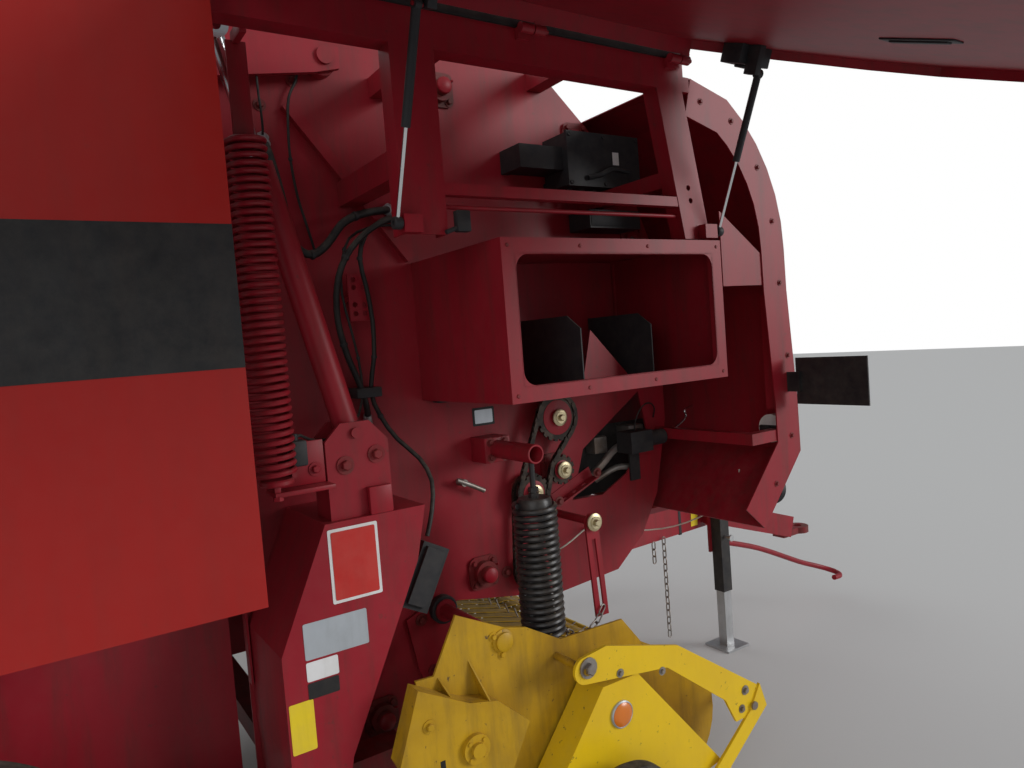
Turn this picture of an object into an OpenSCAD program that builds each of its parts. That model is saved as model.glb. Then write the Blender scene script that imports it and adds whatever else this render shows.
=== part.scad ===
// Round baler, parked on its jack with the right side door raised.
// All lengths are millimetres. Pieces are written from the ground under
// the axle, with x forward, y to the left and z up, and place() then moves
// the origin to the centre of the drawbar's eye.

/* [Running gear] */
// Height of the axle's centre, which is the tyre's rolling radius
wheel_r = 425; // [380:5:470]
// Width of the tyre
wheel_w = 350; // [250:10:380]
// Distance of each wheel's middle from the centre line
wheel_y = 1025; // [1000:5:1100]
// Radius of the rim's bead seat
rim_r = 205; // [180:5:230]
// Radius of the stub axle
stub_r = 32; // [25:1:40]
// Side of the square axle beam
axle_beam = 120; // [90:5:140]

/* [Bale chamber] */
// Distance of each side sheet's outer face from the centre line
sheet_y = 620; // [560:10:640]
// Thickness of the side sheets
sheet_t = 8; // [5:1:12]
// Where the front part of the chamber starts
parting_x = 760; // [755:1:790]
// Gap between the front part and the tailgate
parting_gap = 40; // [20:1:60]
// Top edge of the front side sheets
sheet_top = 2540; // [2520:5:2600]
// Radius of the round rear of the tailgate
drum_r = 1020; // [960:10:1060]
// Forward place of the drum's centre
drum_x = 450; // [430:5:480]
// Height of the drum's centre
drum_z = 1480; // [1460:5:1520]
// Width of one belt
belt_w = 190; // [150:5:200]
// Thickness of a belt
belt_t = 8; // [5:1:10]
// Number of belts side by side
belt_count = 5; // [4:1:6]

/* [Tailgate] */
// Forward place of the tailgate's hinge
gate_hinge_x = 1120; // [1100:5:1140]
// Distance of the tailgate's hinge below the top edge of the side sheets
gate_hinge_drop = 70; // [60:5:80]
// Radius of the tailgate's hinge pins
gate_pin_r = 25; // [20:1:32]
// Distance of the rear shields' faces from the centre line
shield_y = 1200; // [1180:5:1240]
// Bottom edge of the rear shields
shield_bottom = 1085; // [1040:5:1120]
// Top edge of the rear shields
shield_top = 2440; // [2400:5:2450]
// Thickness of shields, doors and covers
skin_t = 4; // [2:0.5:6]
// Bottom of the dark stripe
stripe_bottom = 1592; // [1500:5:1650]
// Top of the dark stripe
stripe_top = 1886; // [1800:5:1950]

/* [Tailgate cylinders] */
// Forward place of the lower eye
cyl_x = 1020; // [1000:5:1040]
// Height of the lower eye
cyl_z = 1396; // [1380:5:1410]
// Distance of the cylinders from the centre line
cyl_y = 875; // [870:1:880]
// Radius of the barrel
cyl_r = 35; // [28:1:40]
// Radius of the piston rod
rod_r = 20; // [14:1:22]
// Radius of the lower pin
cyl_pin_r = 14; // [10:1:16]
// Forward place of the lug on the tailgate
lug_x = 770; // [765:1:780]
// Distance of the lug on the tailgate below the hinge
lug_drop = 50; // [40:1:60]

/* [Doors] */
// Distance of the doors' hinge line from the centre line
door_hinge_y = 1135; // [1130:1:1145]
// Height of the doors' hinge line
door_hinge_z = 2440; // [2435:1:2450]
// Angle of the raised door from hanging
door_open = 68.5; // [60:0.5:75]
// Rear edge of the doors
door_back = 700; // [695:1:720]
// Bottom edge of the doors
door_bottom = 1065; // [1040:5:1100]
// Depth of the folded edge of doors and shields
fold = 30; // [20:1:35]
// Radius of the door's gas strut barrels
strut_r = 11; // [9:0.5:12]
// Radius of the door's gas strut rods
strut_rod_r = 5; // [4:0.5:6]

/* [Door frame] */
// Underside of the top beams
beam_bottom = 2353; // [2340:1:2370]
// Height of the top beams
beam_h = 95; // [80:1:100]
// Distance of the top beams' outer faces from the centre line
beam_y = 1110; // [1100:1:1115]
// Width of the top beams and posts
beam_w = 60; // [40:5:70]

/* [Twine box] */
// Rear end of the twine box
box_x0 = 1375; // [1360:5:1400]
// Front end of the twine box
box_x1 = 2220; // [2180:5:2240]
// Bottom of the twine box
box_z0 = 1437; // [1420:5:1450]
// Top of the twine box
box_z1 = 1878; // [1860:5:1890]
// Distance of the twine box's open face from the centre line
box_y = 1150; // [1120:5:1155]
// Width of the frame round the opening
box_rim = 44; // [30:1:60]
// Height of the dividers between the balls of twine
divider_h = 230; // [200:5:300]

/* [Chain drive] */
// Distance between the rollers of a chain
chain_pitch = 25.4; // [24:0.1:26]
// Width of a chain over its outer plates
chain_w = 17; // [14:1:20]
// Distance of the inner chain's middle outside the side sheet
chain_off = 26; // [22:1:30]
// Distance between the middles of the two chains
chain_step = 27; // [22:1:32]

/* [Hood] */
// Half the width of the front hood
hood_y = 1100; // [1060:5:1105]

/* [Drawbar and jack] */
// Distance from the axle to the eye of the drawbar
hitch_x = 4100; // [4000:10:4200]
// Height of the eye when parked
hitch_h = 360; // [330:5:400]
// Radius of the hole in the eye
eye_r = 25; // [20:1:30]
// Outer radius of the eye
eye_outer = 62; // [50:1:70]
// Thickness of the eye
eye_t = 36; // [30:1:50]
// Forward place of the jack
jack_x = 3137; // [3100:5:3160]
// Distance of the jack to the right of the centre line
jack_y = 257; // [250:1:270]
// Side of the jack's square sleeve
jack_sleeve = 60; // [56:1:70]
// Side of the jack's square leg
jack_leg_w = 50; // [44:1:50]
// Bottom end of the sleeve
jack_sleeve_z = 285; // [270:5:300]

/* [Pickup] */
// Forward place of the pickup's pivot
pick_pivot_x = 1376; // [1370:1:1390]
// Height of the pickup's pivot
pick_pivot_z = 754; // [740:1:760]
// Forward place of the reel
reel_x = 1980; // [1970:1:1990]
// Height of the reel
reel_z = 290; // [285:1:300]
// Radius of the reel to the tips of its tines
reel_r = 240; // [225:1:245]
// Half the width between the pickup's side plates
pick_y = 1000; // [980:5:1010]
// Number of tines along one bar
tine_count = 28; // [20:1:32]
// Number of tine bars
tine_bars = 4; // [3:1:5]
// Radius of the small wheels beside the pickup
gauge_r = 180; // [160:5:190]
// Width of the small wheels beside the pickup
gauge_w = 90; // [70:5:100]

/* [Hidden] */
$fn = 32;
gap = 6;
fit = 0.06;
axle_z = wheel_r;
gate_hinge_z = sheet_top - gate_hinge_drop;
lug_z = gate_hinge_z - lug_drop;
parting_back = parting_x - parting_gap;

red = [0.62, 0.07, 0.09];
dark_red = [0.42, 0.04, 0.06];
yellow = [0.86, 0.68, 0.05];
black = [0.06, 0.06, 0.07];
steel = [0.62, 0.63, 0.65];
rubber = [0.09, 0.09, 0.1];

// Helpers

function unit(v) = v / norm(v);
function seg_normal(p, q) = let (d = unit(q - p)) [-d[1], d[0]];
function path_normal(path, i) =
    i == 0 ? seg_normal(path[0], path[1])
    : i == len(path) - 1 ? seg_normal(path[i - 1], path[i])
    : let (a = seg_normal(path[i - 1], path[i]), b = seg_normal(path[i], path[i + 1]),
        m = unit(a + b)) m / (m * a);
// Closed outline of a strip of thickness t laid on the left of a path
function band(path, t) = concat(path,
    [for (i = [len(path) - 1:-1:0]) path[i] + t * path_normal(path, i)]);
function arc(c, r, a0, a1, n) = [for (k = [0:n])
    let (a = a0 + (a1 - a0) * k / n) c + r * [cos(a), sin(a)]];
// Angle of the line that touches two rollers on its left side
function touch(a, b) = let (d = [b[0] - a[0], b[1] - a[1]])
    atan2(d[1], d[0]) + acos((a[2] - b[2]) / norm(d));
// Belt path over rollers given as forward place, height and radius
function over(rollers) = concat(
    [[rollers[0][0], rollers[0][1]]],
    [for (i = [1:len(rollers) - 2]) let (r = rollers[i], a = touch(rollers[i - 1], r),
        b = touch(r, rollers[i + 1])) each arc([r[0], r[1]], r[2] / cos(6), a, b, max(1,
        ceil(abs(a - b) / 12)))],
    [let (r = rollers[len(rollers) - 1]) [r[0], r[1]]]);
// Point at a share along a Catmull and Rom curve through four points
function curve4(a, b, c, d, t) = 0.5 * ((2 * b) + (c - a) * t
    + (2 * a - 5 * b + 4 * c - d) * t * t + (3 * b - a - 3 * c + d) * t * t * t);
function smooth(p, n) = concat([for (i = [0:len(p) - 2]) for (k = [0:n - 1])
    curve4(p[max(i - 1, 0)], p[i], p[i + 1], p[min(i + 2, len(p) - 1)], k / n)],
    [p[len(p) - 1]]);

module place() translate([-hitch_x, 0, -hitch_h]) children();
module both() {
    children();
    mirror([0, 1, 0]) children();
}
// Plate with an outline in x and z, from y0 to y0 + t
module plate(points, y0, t) {
    translate([0, y0 + t, 0]) rotate([90, 0, 0]) linear_extrude(t) polygon(points);
}
// Bar with an outline in y and z, from x0 to x0 + t
module bar_x(points, x0, t) {
    translate([x0, 0, 0]) rotate([90, 0, 90]) linear_extrude(t) polygon(points);
}
module block(a, b) translate(a) cube(b - a);
// Round bar along y between y0 and y1
module round_y(x, z, y0, y1, r) {
    translate([x, y1, z]) rotate([90, 0, 0]) cylinder(r = r, h = y1 - y0);
}
module round_x(y, z, x0, x1, r) {
    translate([x0, y, z]) rotate([0, 90, 0]) cylinder(r = r, h = x1 - x0);
}
// Turns what stands along z from the origin to run from p towards q
module along(p, q) {
    d = q - p;
    translate(p) rotate([0, acos(d[2] / norm(d)), atan2(d[1], d[0])]) children();
}
module rod(p, q, r) along(p, q) cylinder(r = r, h = norm(q - p));
// Rectangular tube from p to q, w wide and h high
module beam(p, q, w, h) {
    d = q - p;
    flat = norm([d[0], d[1]]);
    translate(p) rotate([0, -atan2(d[2], flat), atan2(d[1], d[0])])
        translate([0, -w / 2, -h / 2]) cube([norm(d), w, h]);
}
// Round hose swept along points, with rings square to the path
module hose(path, r, sides = 8) {
    n = len(path);
    ref = [0.21, 0.95, 0.23];
    rings = [for (i = [0:n - 1]) let (
        t = unit(path[min(i + 1, n - 1)] - path[max(i - 1, 0)]),
        u = unit(cross(t, ref)), v = cross(t, u))
        for (k = [0:sides - 1]) path[i] + r * (cos(360 * k / sides) * u
            + sin(360 * k / sides) * v)];
    walls = [for (i = [0:n - 2]) for (k = [0:sides - 1]) let (m = (k + 1) % sides)
        [i * sides + k, (i + 1) * sides + k, (i + 1) * sides + m, i * sides + m]];
    start = [[for (k = [0:sides - 1]) k]];
    end = [[for (k = [sides - 1:-1:0]) (n - 1) * sides + k]];
    polyhedron(points = rings, faces = concat(start, walls, end), convexity = 6);
}

// Chamber

front_outline = concat(
    [[parting_x, sheet_top], [1960, sheet_top]],
    [[2120, sheet_top - 145], [2320, sheet_top - 330], [2420, sheet_top - 560], [2450, 1700],
    [2450, 1250],
    [2380, 960], [2290, 810], [2150, 700], [1870, 680], [1440, 760],
    [1380, 640], [1300, 330], [860, 330], [parting_x, 430]]);
access_hole = [[1955, 1005], [2019, 1186], [2313, 1374], [2350, 1200],
    [2227, 1062], [2100, 1000]];
// Cross tubes of the door frame: rear face, underside
cross_tube = 60;
cross_tube_table = [[1280, beam_bottom + beam_h - cross_tube], [1880, sheet_top - cross_tube]];

// Rollers of the front part: forward place, height, radius, 1 where the bearing has a cap
front_roller_table = [
    [1520, sheet_top - 100, 52, 1], [2080, sheet_top - 210, 55, 0],
    [2330, sheet_top - 580, 55, 0], [2350, 1440, 55, 1],
    [1870, 1325, 85, 0], [1875, 1137, 50, 0], [1745, 1075, 55, 0], [1549, 831, 95, 1],
    [1141, 470, 110, 1]];
roller_shaft_r = 20;

module side_sheet() {
    color(red) difference() {
        plate(front_outline, -sheet_y, sheet_t);
        plate(access_hole, -sheet_y - 1, sheet_t + 2);
        for (c = cross_tube_table)
            block([c[0], -sheet_y - 1, c[1]], [c[0] + cross_tube, -sheet_y + sheet_t + 1,
                c[1] + cross_tube]);
        for (r = front_roller_table)
            round_y(r[0], r[1], -sheet_y - 1, -sheet_y + sheet_t + 1, roller_shaft_r);
    }
    // Folded rear edge and the pins that carry the tailgate and the pickup
    color(red) block([parting_x, -sheet_y - 28, 700], [parting_x + 6, -sheet_y, 1160]);
    color(steel) round_y(gate_hinge_x, gate_hinge_z, -sheet_y - 75, -sheet_y, gate_pin_r);
    color(dark_red) difference() {
        round_y(gate_hinge_x, gate_hinge_z, -sheet_y - 38, -sheet_y, gate_pin_r + 22);
        round_y(gate_hinge_x, gate_hinge_z, -sheet_y - 39, -sheet_y, gate_pin_r - 1);
    }
    color(steel) round_y(pick_pivot_x, pick_pivot_z, -pick_y - 12, -sheet_y, 22);
    // Thick bracket and collar that carry the pickup's pivot
    color(red) plate([[pick_pivot_x - 127, pick_pivot_z - 8], [pick_pivot_x, pick_pivot_z + 40],
        [pick_pivot_x + 102, pick_pivot_z - 54], [pick_pivot_x - 56, pick_pivot_z - 290],
        [pick_pivot_x - 96, pick_pivot_z - 180]], -sheet_y - 12, 12);
    color(dark_red) round_y(pick_pivot_x, pick_pivot_z, -sheet_y - 44, -sheet_y - 12, 36);
    // Slanted brace on the sheet, cut out where the post's stay crosses it
    color(red) difference() {
        beam([1011, -sheet_y - 12, 2336], [1368, -sheet_y - 12, 1891], 26, 34);
        block([1149, -sheet_y - 40, 2048], [1216, -sheet_y, 2123]);
    }
    // Plate with holes that leads the hoses
    color(red) {
        block([1140, -sheet_y - 61, 1760], [1185, -sheet_y, 1775]);
        difference() {
            block([1130, -sheet_y - 66, 1700], [1195, -sheet_y - 60, 1840]);
            for (x = [1148, 1177]) for (z = [1722, 1748, 1800, 1822])
                round_y(x, z, -sheet_y - 67, -sheet_y - 59, 8);
        }
    }
}
module right_side_sheet() place() side_sheet();
module left_side_sheet() place() mirror([0, 1, 0]) side_sheet();

// Running gear

rail_y = sheet_y + 70;
rail_w = 100;
hub_y = wheel_y - wheel_w / 2 + 20;
module axle_frame() place() {
    color(dark_red) difference() {
        block([-axle_beam / 2, -rail_y - rail_w, axle_z - axle_beam / 2],
            [axle_beam / 2, rail_y + rail_w, axle_z + axle_beam / 2]);
        block([-axle_beam / 2 + 8, -rail_y - rail_w - 1, axle_z - axle_beam / 2 + 8],
            [axle_beam / 2 - 8, rail_y + rail_w + 1, axle_z + axle_beam / 2 - 8]);
    }
    both() color(dark_red) {
        block([axle_beam / 2, -rail_y - rail_w, 330], [1150, -rail_y, 450]);
        block([-axle_beam / 2, -rail_y - rail_w - 8, axle_z - axle_beam / 2],
            [axle_beam / 2, -rail_y - rail_w, axle_z + axle_beam / 2]);
    }
    color(dark_red) block([870, -rail_y - rail_w, 250], [960, rail_y + rail_w, 330]);
    both() color(steel) round_y(0, axle_z, -hub_y - 150, -rail_y - rail_w - 8, stub_r);
}

leg_outline = [[909, 1176], [1193, 1176], [1158, 1029], [930, 560], [905, 450],
    [778, 450], [770, 594], [770, 868]];
leg_y = 950;
module leg_covers() place() both() color(red)
    plate(leg_outline, -leg_y, leg_y - sheet_y);

tread_w = wheel_w - 40;
groove_w = 14;
// Half outline of the tyre as radius and offset from its middle
function tyre_side(s) = [
    [rim_r, s * (wheel_w / 2 - 32)], [rim_r + 45, s * (wheel_w / 2 - 12)],
    [rim_r + 110, s * wheel_w / 2], [wheel_r - 60, s * (wheel_w / 2 - 2)],
    [wheel_r - 18, s * (wheel_w / 2 - 16)], [wheel_r - 4, s * (tread_w / 2 - 6)]];
function tread(n) = [for (i = [0:n - 1]) let (y = -tread_w / 2 + tread_w * (i + 1) / (n + 1))
    each [[wheel_r, y - groove_w / 2 - 4], [wheel_r - 14, y - groove_w / 2],
        [wheel_r - 14, y + groove_w / 2], [wheel_r, y + groove_w / 2 + 4]]];
tyre_outline = concat(tyre_side(-1), tread(4), [for (i = [5:-1:0]) tyre_side(1)[i]],
    [[rim_r, 60], [rim_r, -60]]);
module tyre() color(rubber) translate([0, -wheel_y, axle_z]) rotate([90, 0, 0])
    rotate_extrude($fn = 64) polygon(tyre_outline);
rim_outline = [[rim_r - 0.3, -wheel_w / 2 + 34], [rim_r + 14, -wheel_w / 2 + 22],
    [rim_r + 14, -wheel_w / 2 + 16], [rim_r - 10, -wheel_w / 2 + 26]];
module rim() color([0.82, 0.8, 0.74]) translate([0, -wheel_y, axle_z]) rotate([90, 0, 0]) {
    difference() {
        rotate_extrude($fn = 64) polygon([[rim_r - 0.3, 62], [rim_r - 0.3, -62],
            [rim_r - 16, -62], [rim_r - 16, -24], [150, 8], [64, 14], [64, 26], [150, 20],
            [rim_r - 16, -8], [rim_r - 16, 62]]);
        for (k = [0:5]) rotate([0, 0, 60 * k]) translate([128, 0, -10])
            cylinder(r = 18, h = 60);
    }
    for (s = [-1, 1]) rotate_extrude($fn = 64) polygon([[rim_r - 0.3, s * 62],
        [rim_r - 0.3, s * (wheel_w / 2 - 31)], [rim_r + 16, s * (wheel_w / 2 - 14)],
        [rim_r + 8, s * (wheel_w / 2 - 8)], [rim_r - 12, s * (wheel_w / 2 - 24)],
        [rim_r - 12, s * 62]]);
    difference() {
        translate([0, 0, hub_y - 10 - wheel_y]) cylinder(r = 70, h = wheel_y - hub_y + 40);
        translate([0, 0, hub_y - 11 - wheel_y]) cylinder(r = stub_r + fit, h = 163);
    }
    for (k = [0:5]) rotate([0, 0, 60 * k + 30]) translate([100, 0, 20])
        cylinder(r = 13, h = 22, $fn = 6);
}
module right_tyre() place() tyre();
module left_tyre() place() mirror([0, 1, 0]) tyre();
module right_rim() place() rim();
module left_rim() place() mirror([0, 1, 0]) rim();

// Door frame over the sheets

post_a = [[1120, beam_bottom], [1245, beam_bottom], [1245, 1888], [1120, 1888]];
post_b = [[2020, beam_bottom], [2132, beam_bottom], [2222, 1888], [2107, 1888]];
module door_frame() place() {
    both() color(red) {
        difference() {
            block([710, -beam_y, beam_bottom], [2140, -beam_y + beam_w, beam_bottom + beam_h]);
            block([709, -beam_y + 5, beam_bottom + 5], [2141, -beam_y + beam_w - 5,
                beam_bottom + beam_h - 5]);
        }
        difference() {
            plate(post_a, -beam_y, beam_w);
            block([1125, -beam_y + 5, 1880], [1240, -beam_y + beam_w + 1, beam_bottom - 5]);
        }
        difference() {
            plate(post_b, -beam_y, beam_w);
            plate([[2030, beam_bottom - 5], [2124, beam_bottom - 5], [2212, 1880],
                [2117, 1880]], -beam_y + 5, beam_w);
            for (z = [2010, 2050]) round_y(2148 - (z - 1975) * 0.19, z, -beam_y - 1,
                -beam_y + 6, 9);
        }
        block([1245, -beam_y + 2, 1990], [2085, -beam_y + 32, 2020]);
        round_x(-beam_y + 20, 1962, 1245, 2085, 6);
        // Stays from the side sheet out to the posts
        block([1150, -beam_y + beam_w, 2049], [1215, -sheet_y, 2122]);
        block([2080, -beam_y + beam_w, 2060], [2120, -sheet_y, 2110]);
    }
    color(red) for (c = cross_tube_table) difference() {
        block([c[0], -beam_y + beam_w, c[1]], [c[0] + cross_tube, beam_y - beam_w,
            c[1] + cross_tube]);
        block([c[0] + 5, -beam_y, c[1] + 5], [c[0] + cross_tube - 5, beam_y,
            c[1] + cross_tube - 5]);
    }
    // Raised ends of the front cross tube, and the seat of the hood
    both() color(red) {
        block([cross_tube_table[1][0], -beam_y, beam_bottom + beam_h],
            [cross_tube_table[1][0] + cross_tube, -beam_y + beam_w, sheet_top]);
        block([2140, -beam_y, beam_bottom], [2165, -beam_y + beam_w, 2399]);
    }
    // Fixed hinge leaves and knuckles, and feet of the struts
    both() color(dark_red) {
        for (x = [820, 1500, 2060]) {
            block([x, -door_hinge_y + 10, door_hinge_z - 25], [x + 40, -beam_y,
                door_hinge_z + 5]);
            difference() {
                round_x(-door_hinge_y, door_hinge_z, x, x + 40, 14);
                round_x(-door_hinge_y, door_hinge_z, x - 1, x + 41, 6);
            }
            round_x(-door_hinge_y, door_hinge_z, x, x + 92, 6);
        }
    }
    both() color(black) for (s = strut_table)
        block([s[2], -beam_y - 30, strut_foot_z - 22], [s[3], -beam_y, strut_foot_z + 22]);
}

hood_path = concat([[2184, 2399]], arc([2010, 1860], 600, 55, 0, 6),
    [[2612, 1714], [2641, 1314], [2643, 1130], [2422, 886]]);
lamp_z = 1215;
lamp_y = 1030;
lamp_r = 52;
module front_hood() place() {
    color(red) difference() {
        plate(band(hood_path, 4), -hood_y, 2 * hood_y);
        for (s = [-1, 1]) round_x(s * lamp_y, lamp_z, 2600, 2700, lamp_r);
        // Way out for the drive shaft
        block([2400, -150, 800], [2700, 150, 1060]);
    }
    both() color(red) plate(band(hood_path, -120), -hood_y, 5);
    color(red) block([2140, -hood_y, 2399], [2188, hood_y, 2403]);
}
hood_in = hood_y - 5;
module hood_corners() place() both() color(dark_red) {
    difference() {
        block([2545, -hood_in, 1290], [2600, -hood_in + 55, 1700]);
        block([2560, -hood_y, 1330], [2575, -1030, 1560]);
    }
    plate([[2290, 1985], [2596, 1768], [2580, 1735], [2290, 1735]], -hood_in, 5);
    // Stays from the side sheet to the hood's flange
    for (z = [1740, 1180]) {
        block([2390, -hood_in + 40, z], [2430, -sheet_y, z + 40]);
        block([2390, -hood_in, z], [2540, -hood_in + 40, z + 40]);
    }
}

// Drawbar and jack

drawbar_back = [1720, -560, 805];
drawbar_front = [3330, -62, 640];
eye_x = hitch_x;
module drawbar() place() {
    both() color(red) {
        beam(drawbar_back, drawbar_front, 80, 130);
        block([1700, -sheet_y + sheet_t, 740], [1860, -540, 870]);
    }
    color(red) {
        block([2280, -400, 700], [2380, 400, 820]);
        block([2880, -160, 620], [2960, 160, 740]);
        beam([3200, 0, 652], [3980, 0, 400], 110, 120);
    }
    color(red) link();
    color(red) slotted_angle();
    // Gussets between the arms and their blocks on the side sheets
    both() color(red) plate([[1860, 870], [2060, 838], [1860, 935]], -sheet_y + sheet_t, 8);
    color(red) beam([3137, -150, 660], [3137, -jack_y + jack_sleeve / 2 + 12, 640], 60, 60);
    color(red) block([jack_x - 45, -jack_y + jack_sleeve / 2, 480], [jack_x + 45,
        -jack_y + jack_sleeve / 2 + 12, 740]);
}
// Slotted link that the lifted pickup hangs on: forward place and height of its pin
link_x = 1843;
link_z = 985;
link_len = 325;
link_y = sheet_y + 240;
module link() {
    difference() {
        union() {
            plate([[link_x - 27, link_z], [link_x + 27, link_z], [link_x + 47,
                link_z - link_len], [link_x - 7, link_z - link_len]], -link_y, 8);
            round_y(link_x, link_z, -link_y, -link_y + 8, 27);
        }
        plate([[link_x - 5, link_z - 60], [link_x + 11, link_z - 60], [link_x + 28,
            link_z - link_len + 30], [link_x + 12, link_z - link_len + 30]], -link_y - 1, 10);
    }
    round_y(link_x, link_z, -link_y - 12, -sheet_y, 14);
    round_y(link_x, link_z, -sheet_y - 30, -sheet_y, 26);
}
module slotted_angle() {
    p = [1863, -sheet_y - 20, 1022];
    q = [2045, -sheet_y - 20, 1097];
    difference() {
        beam(p, q, 40, 44);
        beam(p + [-5, -4, 7], q + [5, -4, 7], 42, 44);
        for (t = [0.2, 0.45, 0.7]) beam(p + (q - p) * t + [0, 0, -30],
            p + (q - p) * (t + 0.12) + [0, 0, -30], 14, 40);
    }
}
module drawbar_eye() place() color(dark_red) {
    difference() {
        union() {
            translate([hitch_x, 0, hitch_h - eye_t / 2]) cylinder(r = eye_outer, h = eye_t);
            block([hitch_x - 180, -40, hitch_h - eye_t / 2], [hitch_x - 20, 40,
                hitch_h + eye_t / 2]);
        }
        translate([hitch_x, 0, hitch_h - eye_t]) cylinder(r = eye_r, h = 2 * eye_t);
        beam([3200, 0, 652], [3980, 0, 400], 110, 120);
    }
}
module jack_sleeve() place() color(black) difference() {
    translate([jack_x, -jack_y, 0]) {
        block([-jack_sleeve / 2, -jack_sleeve / 2, jack_sleeve_z],
            [jack_sleeve / 2, jack_sleeve / 2, 980]);
        translate([0, 0, 900]) rotate([0, 90, 0]) cylinder(r = 10, h = 90);
        translate([80, 0, 800]) cylinder(r = 8, h = 105);
    }
    translate([jack_x, -jack_y, 0]) block([-jack_leg_w / 2 - 1, -jack_leg_w / 2 - 1, 200],
        [jack_leg_w / 2 + 1, jack_leg_w / 2 + 1, 960]);
}
module jack_leg() place() color(steel) translate([jack_x, -jack_y, 0]) {
    difference() {
        block([-jack_leg_w / 2, -jack_leg_w / 2, 10], [jack_leg_w / 2, jack_leg_w / 2, 640]);
        block([-jack_leg_w / 2 + 4, -jack_leg_w / 2 + 4, 30], [jack_leg_w / 2 - 4,
            jack_leg_w / 2 - 4, 641]);
    }
    block([-75, -75, 0], [75, 75, 10]);
}

// Twine box and boxes on the right side

// Dividers: forward place, distance behind the open face, distance outside the sheet
divider_table = [[1660, 50, 100], [2036, 150, 60]];

module twine_box() place() color(red) difference() {
    block([box_x0, -box_y, box_z0], [box_x1, -sheet_y, box_z1]);
    block([box_x0 + skin_t, -box_y + skin_t, box_z0 + skin_t],
        [box_x1 - skin_t, -sheet_y - skin_t, box_z1 - skin_t]);
    block([box_x0 + box_rim + 40, -box_y - 1, box_z0 + box_rim],
        [box_x1 - box_rim - 40, -box_y + skin_t + 1, box_z1 - box_rim]);
    block([box_x0 + box_rim, -box_y - 1, box_z0 + box_rim + 40],
        [box_x1 - box_rim, -box_y + skin_t + 1, box_z1 - box_rim - 40]);
    for (x = [box_x0 + box_rim + 40, box_x1 - box_rim - 40])
        for (z = [box_z0 + box_rim + 40, box_z1 - box_rim - 40])
            round_y(x, z, -box_y - 1, -box_y + skin_t + 1, 40);
}
module twine_dividers() place() color(black) {
    for (d = divider_table) bar_x([[-box_y + d[1], box_z0 + skin_t],
        [-sheet_y - d[2], box_z0 + skin_t], [-sheet_y - d[2], box_z0 + divider_h],
        [-box_y + d[1] + 60, box_z0 + divider_h], [-box_y + d[1], box_z0 + divider_h - 40]],
        d[0], 4);
}
module control_boxes() place() color(black) {
    // Main box with its lid, the smaller box behind it and the feet of both
    block([1925, -sheet_y - 142, 2126], [2247, -sheet_y - 12, 2303]);
    block([1921, -sheet_y - 154, 2121], [2251, -sheet_y - 142, 2308]);
    block([1747, -sheet_y - 120, 2180], [1925, -sheet_y - 12, 2258]);
    block([1747, -sheet_y - 12, 2180], [1777, -sheet_y, 2258]);
    for (x = [1925, 2217]) block([x, -sheet_y - 12, 2126], [x + 30, -sheet_y, 2156]);
    block([2030, -sheet_y - 120, 1985], [2270, -sheet_y, 2050]);
    // Actuator by the access opening
    block([2180, -sheet_y - 90, 1150], [2290, -sheet_y - 8, 1230]);
    round_x(-sheet_y - 48, 1190, 2290, 2380, 30);
    block([2240, -sheet_y - 8, 1030], [2290, -sheet_y, 1160]);
    // Tilted actuator ahead of the leg cover
    beam([1168, -850, 865], [1257, -850, 1034], 50, 88);
    beam([1172, -880, 880], [1250, -880, 1026], 16, 60);
    block([1195, -830, 932], [1228, -sheet_y, 962]);
}

// Sprockets: roller of the front part that carries it, number of teeth, row of its chain
sprocket_table = [[4, 20, 1], [5, 12, 1], [6, 15, 1], [6, 15, 0], [9, 12, 0]];
// Stub shaft of the intake's rotor, after the rollers of the table
chain_shafts = concat([for (r = front_roller_table) [r[0], r[1]]], [[1715, 800]]);
function tooth_circle(teeth) = chain_pitch / (2 * sin(180 / teeth));
function chain_y(row) = -sheet_y - chain_off - row * chain_step;
module sprocket(teeth, t) {
    r = tooth_circle(teeth);
    difference() {
        cylinder(r = r + 4, h = t, center = true, $fn = 40);
        for (k = [0:teeth - 1]) rotate([0, 0, 360 * k / teeth]) translate([r + 2, 0, -t])
            cylinder(r = 6.5, h = 2 * t, $fn = 6);
    }
}
// Way of a chain round circles given as place and radius, with a negative radius where
// the chain bends over the outside, counted anticlockwise
function run_angle(a, b) = atan2(b[1] - a[1], b[0] - a[0])
    - asin((b[2] - a[2]) / norm([b[0] - a[0], b[1] - a[1]]));
function turn(from, to, side) = let (d = (to - from) % 360)
    side > 0 ? (d < 0 ? d + 360 : d) : (d > 0 ? d - 360 : d);
function chain_way(c) = [for (i = [0:len(c) - 1]) let (n = len(c),
    before = run_angle(c[(i + n - 1) % n], c[i]), after = run_angle(c[i], c[(i + 1) % n]),
    swing = turn(before, after, c[i][2]), steps = max(2, ceil(abs(swing) / 8)))
    for (k = [0:steps]) let (t = before + swing * k / steps)
        [c[i][0] + c[i][2] * sin(t), c[i][1] - c[i][2] * cos(t)]];
function running(p) = [for (i = 0, s = 0; i <= len(p); i = i + 1,
    s = s + norm(p[(i - 1) % len(p)] - p[i % len(p)])) s];
// Places of a closed chain's rollers, an even number of them
function rollers_on(p) = let (s = running(p), total = s[len(p)],
    n = 2 * round(total / (2 * chain_pitch)),
    xs = [for (i = [0:len(p)]) [s[i], p[i % len(p)][0]]],
    zs = [for (i = [0:len(p)]) [s[i], p[i % len(p)][1]]])
    [for (k = [0:n - 1]) [lookup(total * k / n, xs), lookup(total * k / n, zs)]];
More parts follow.
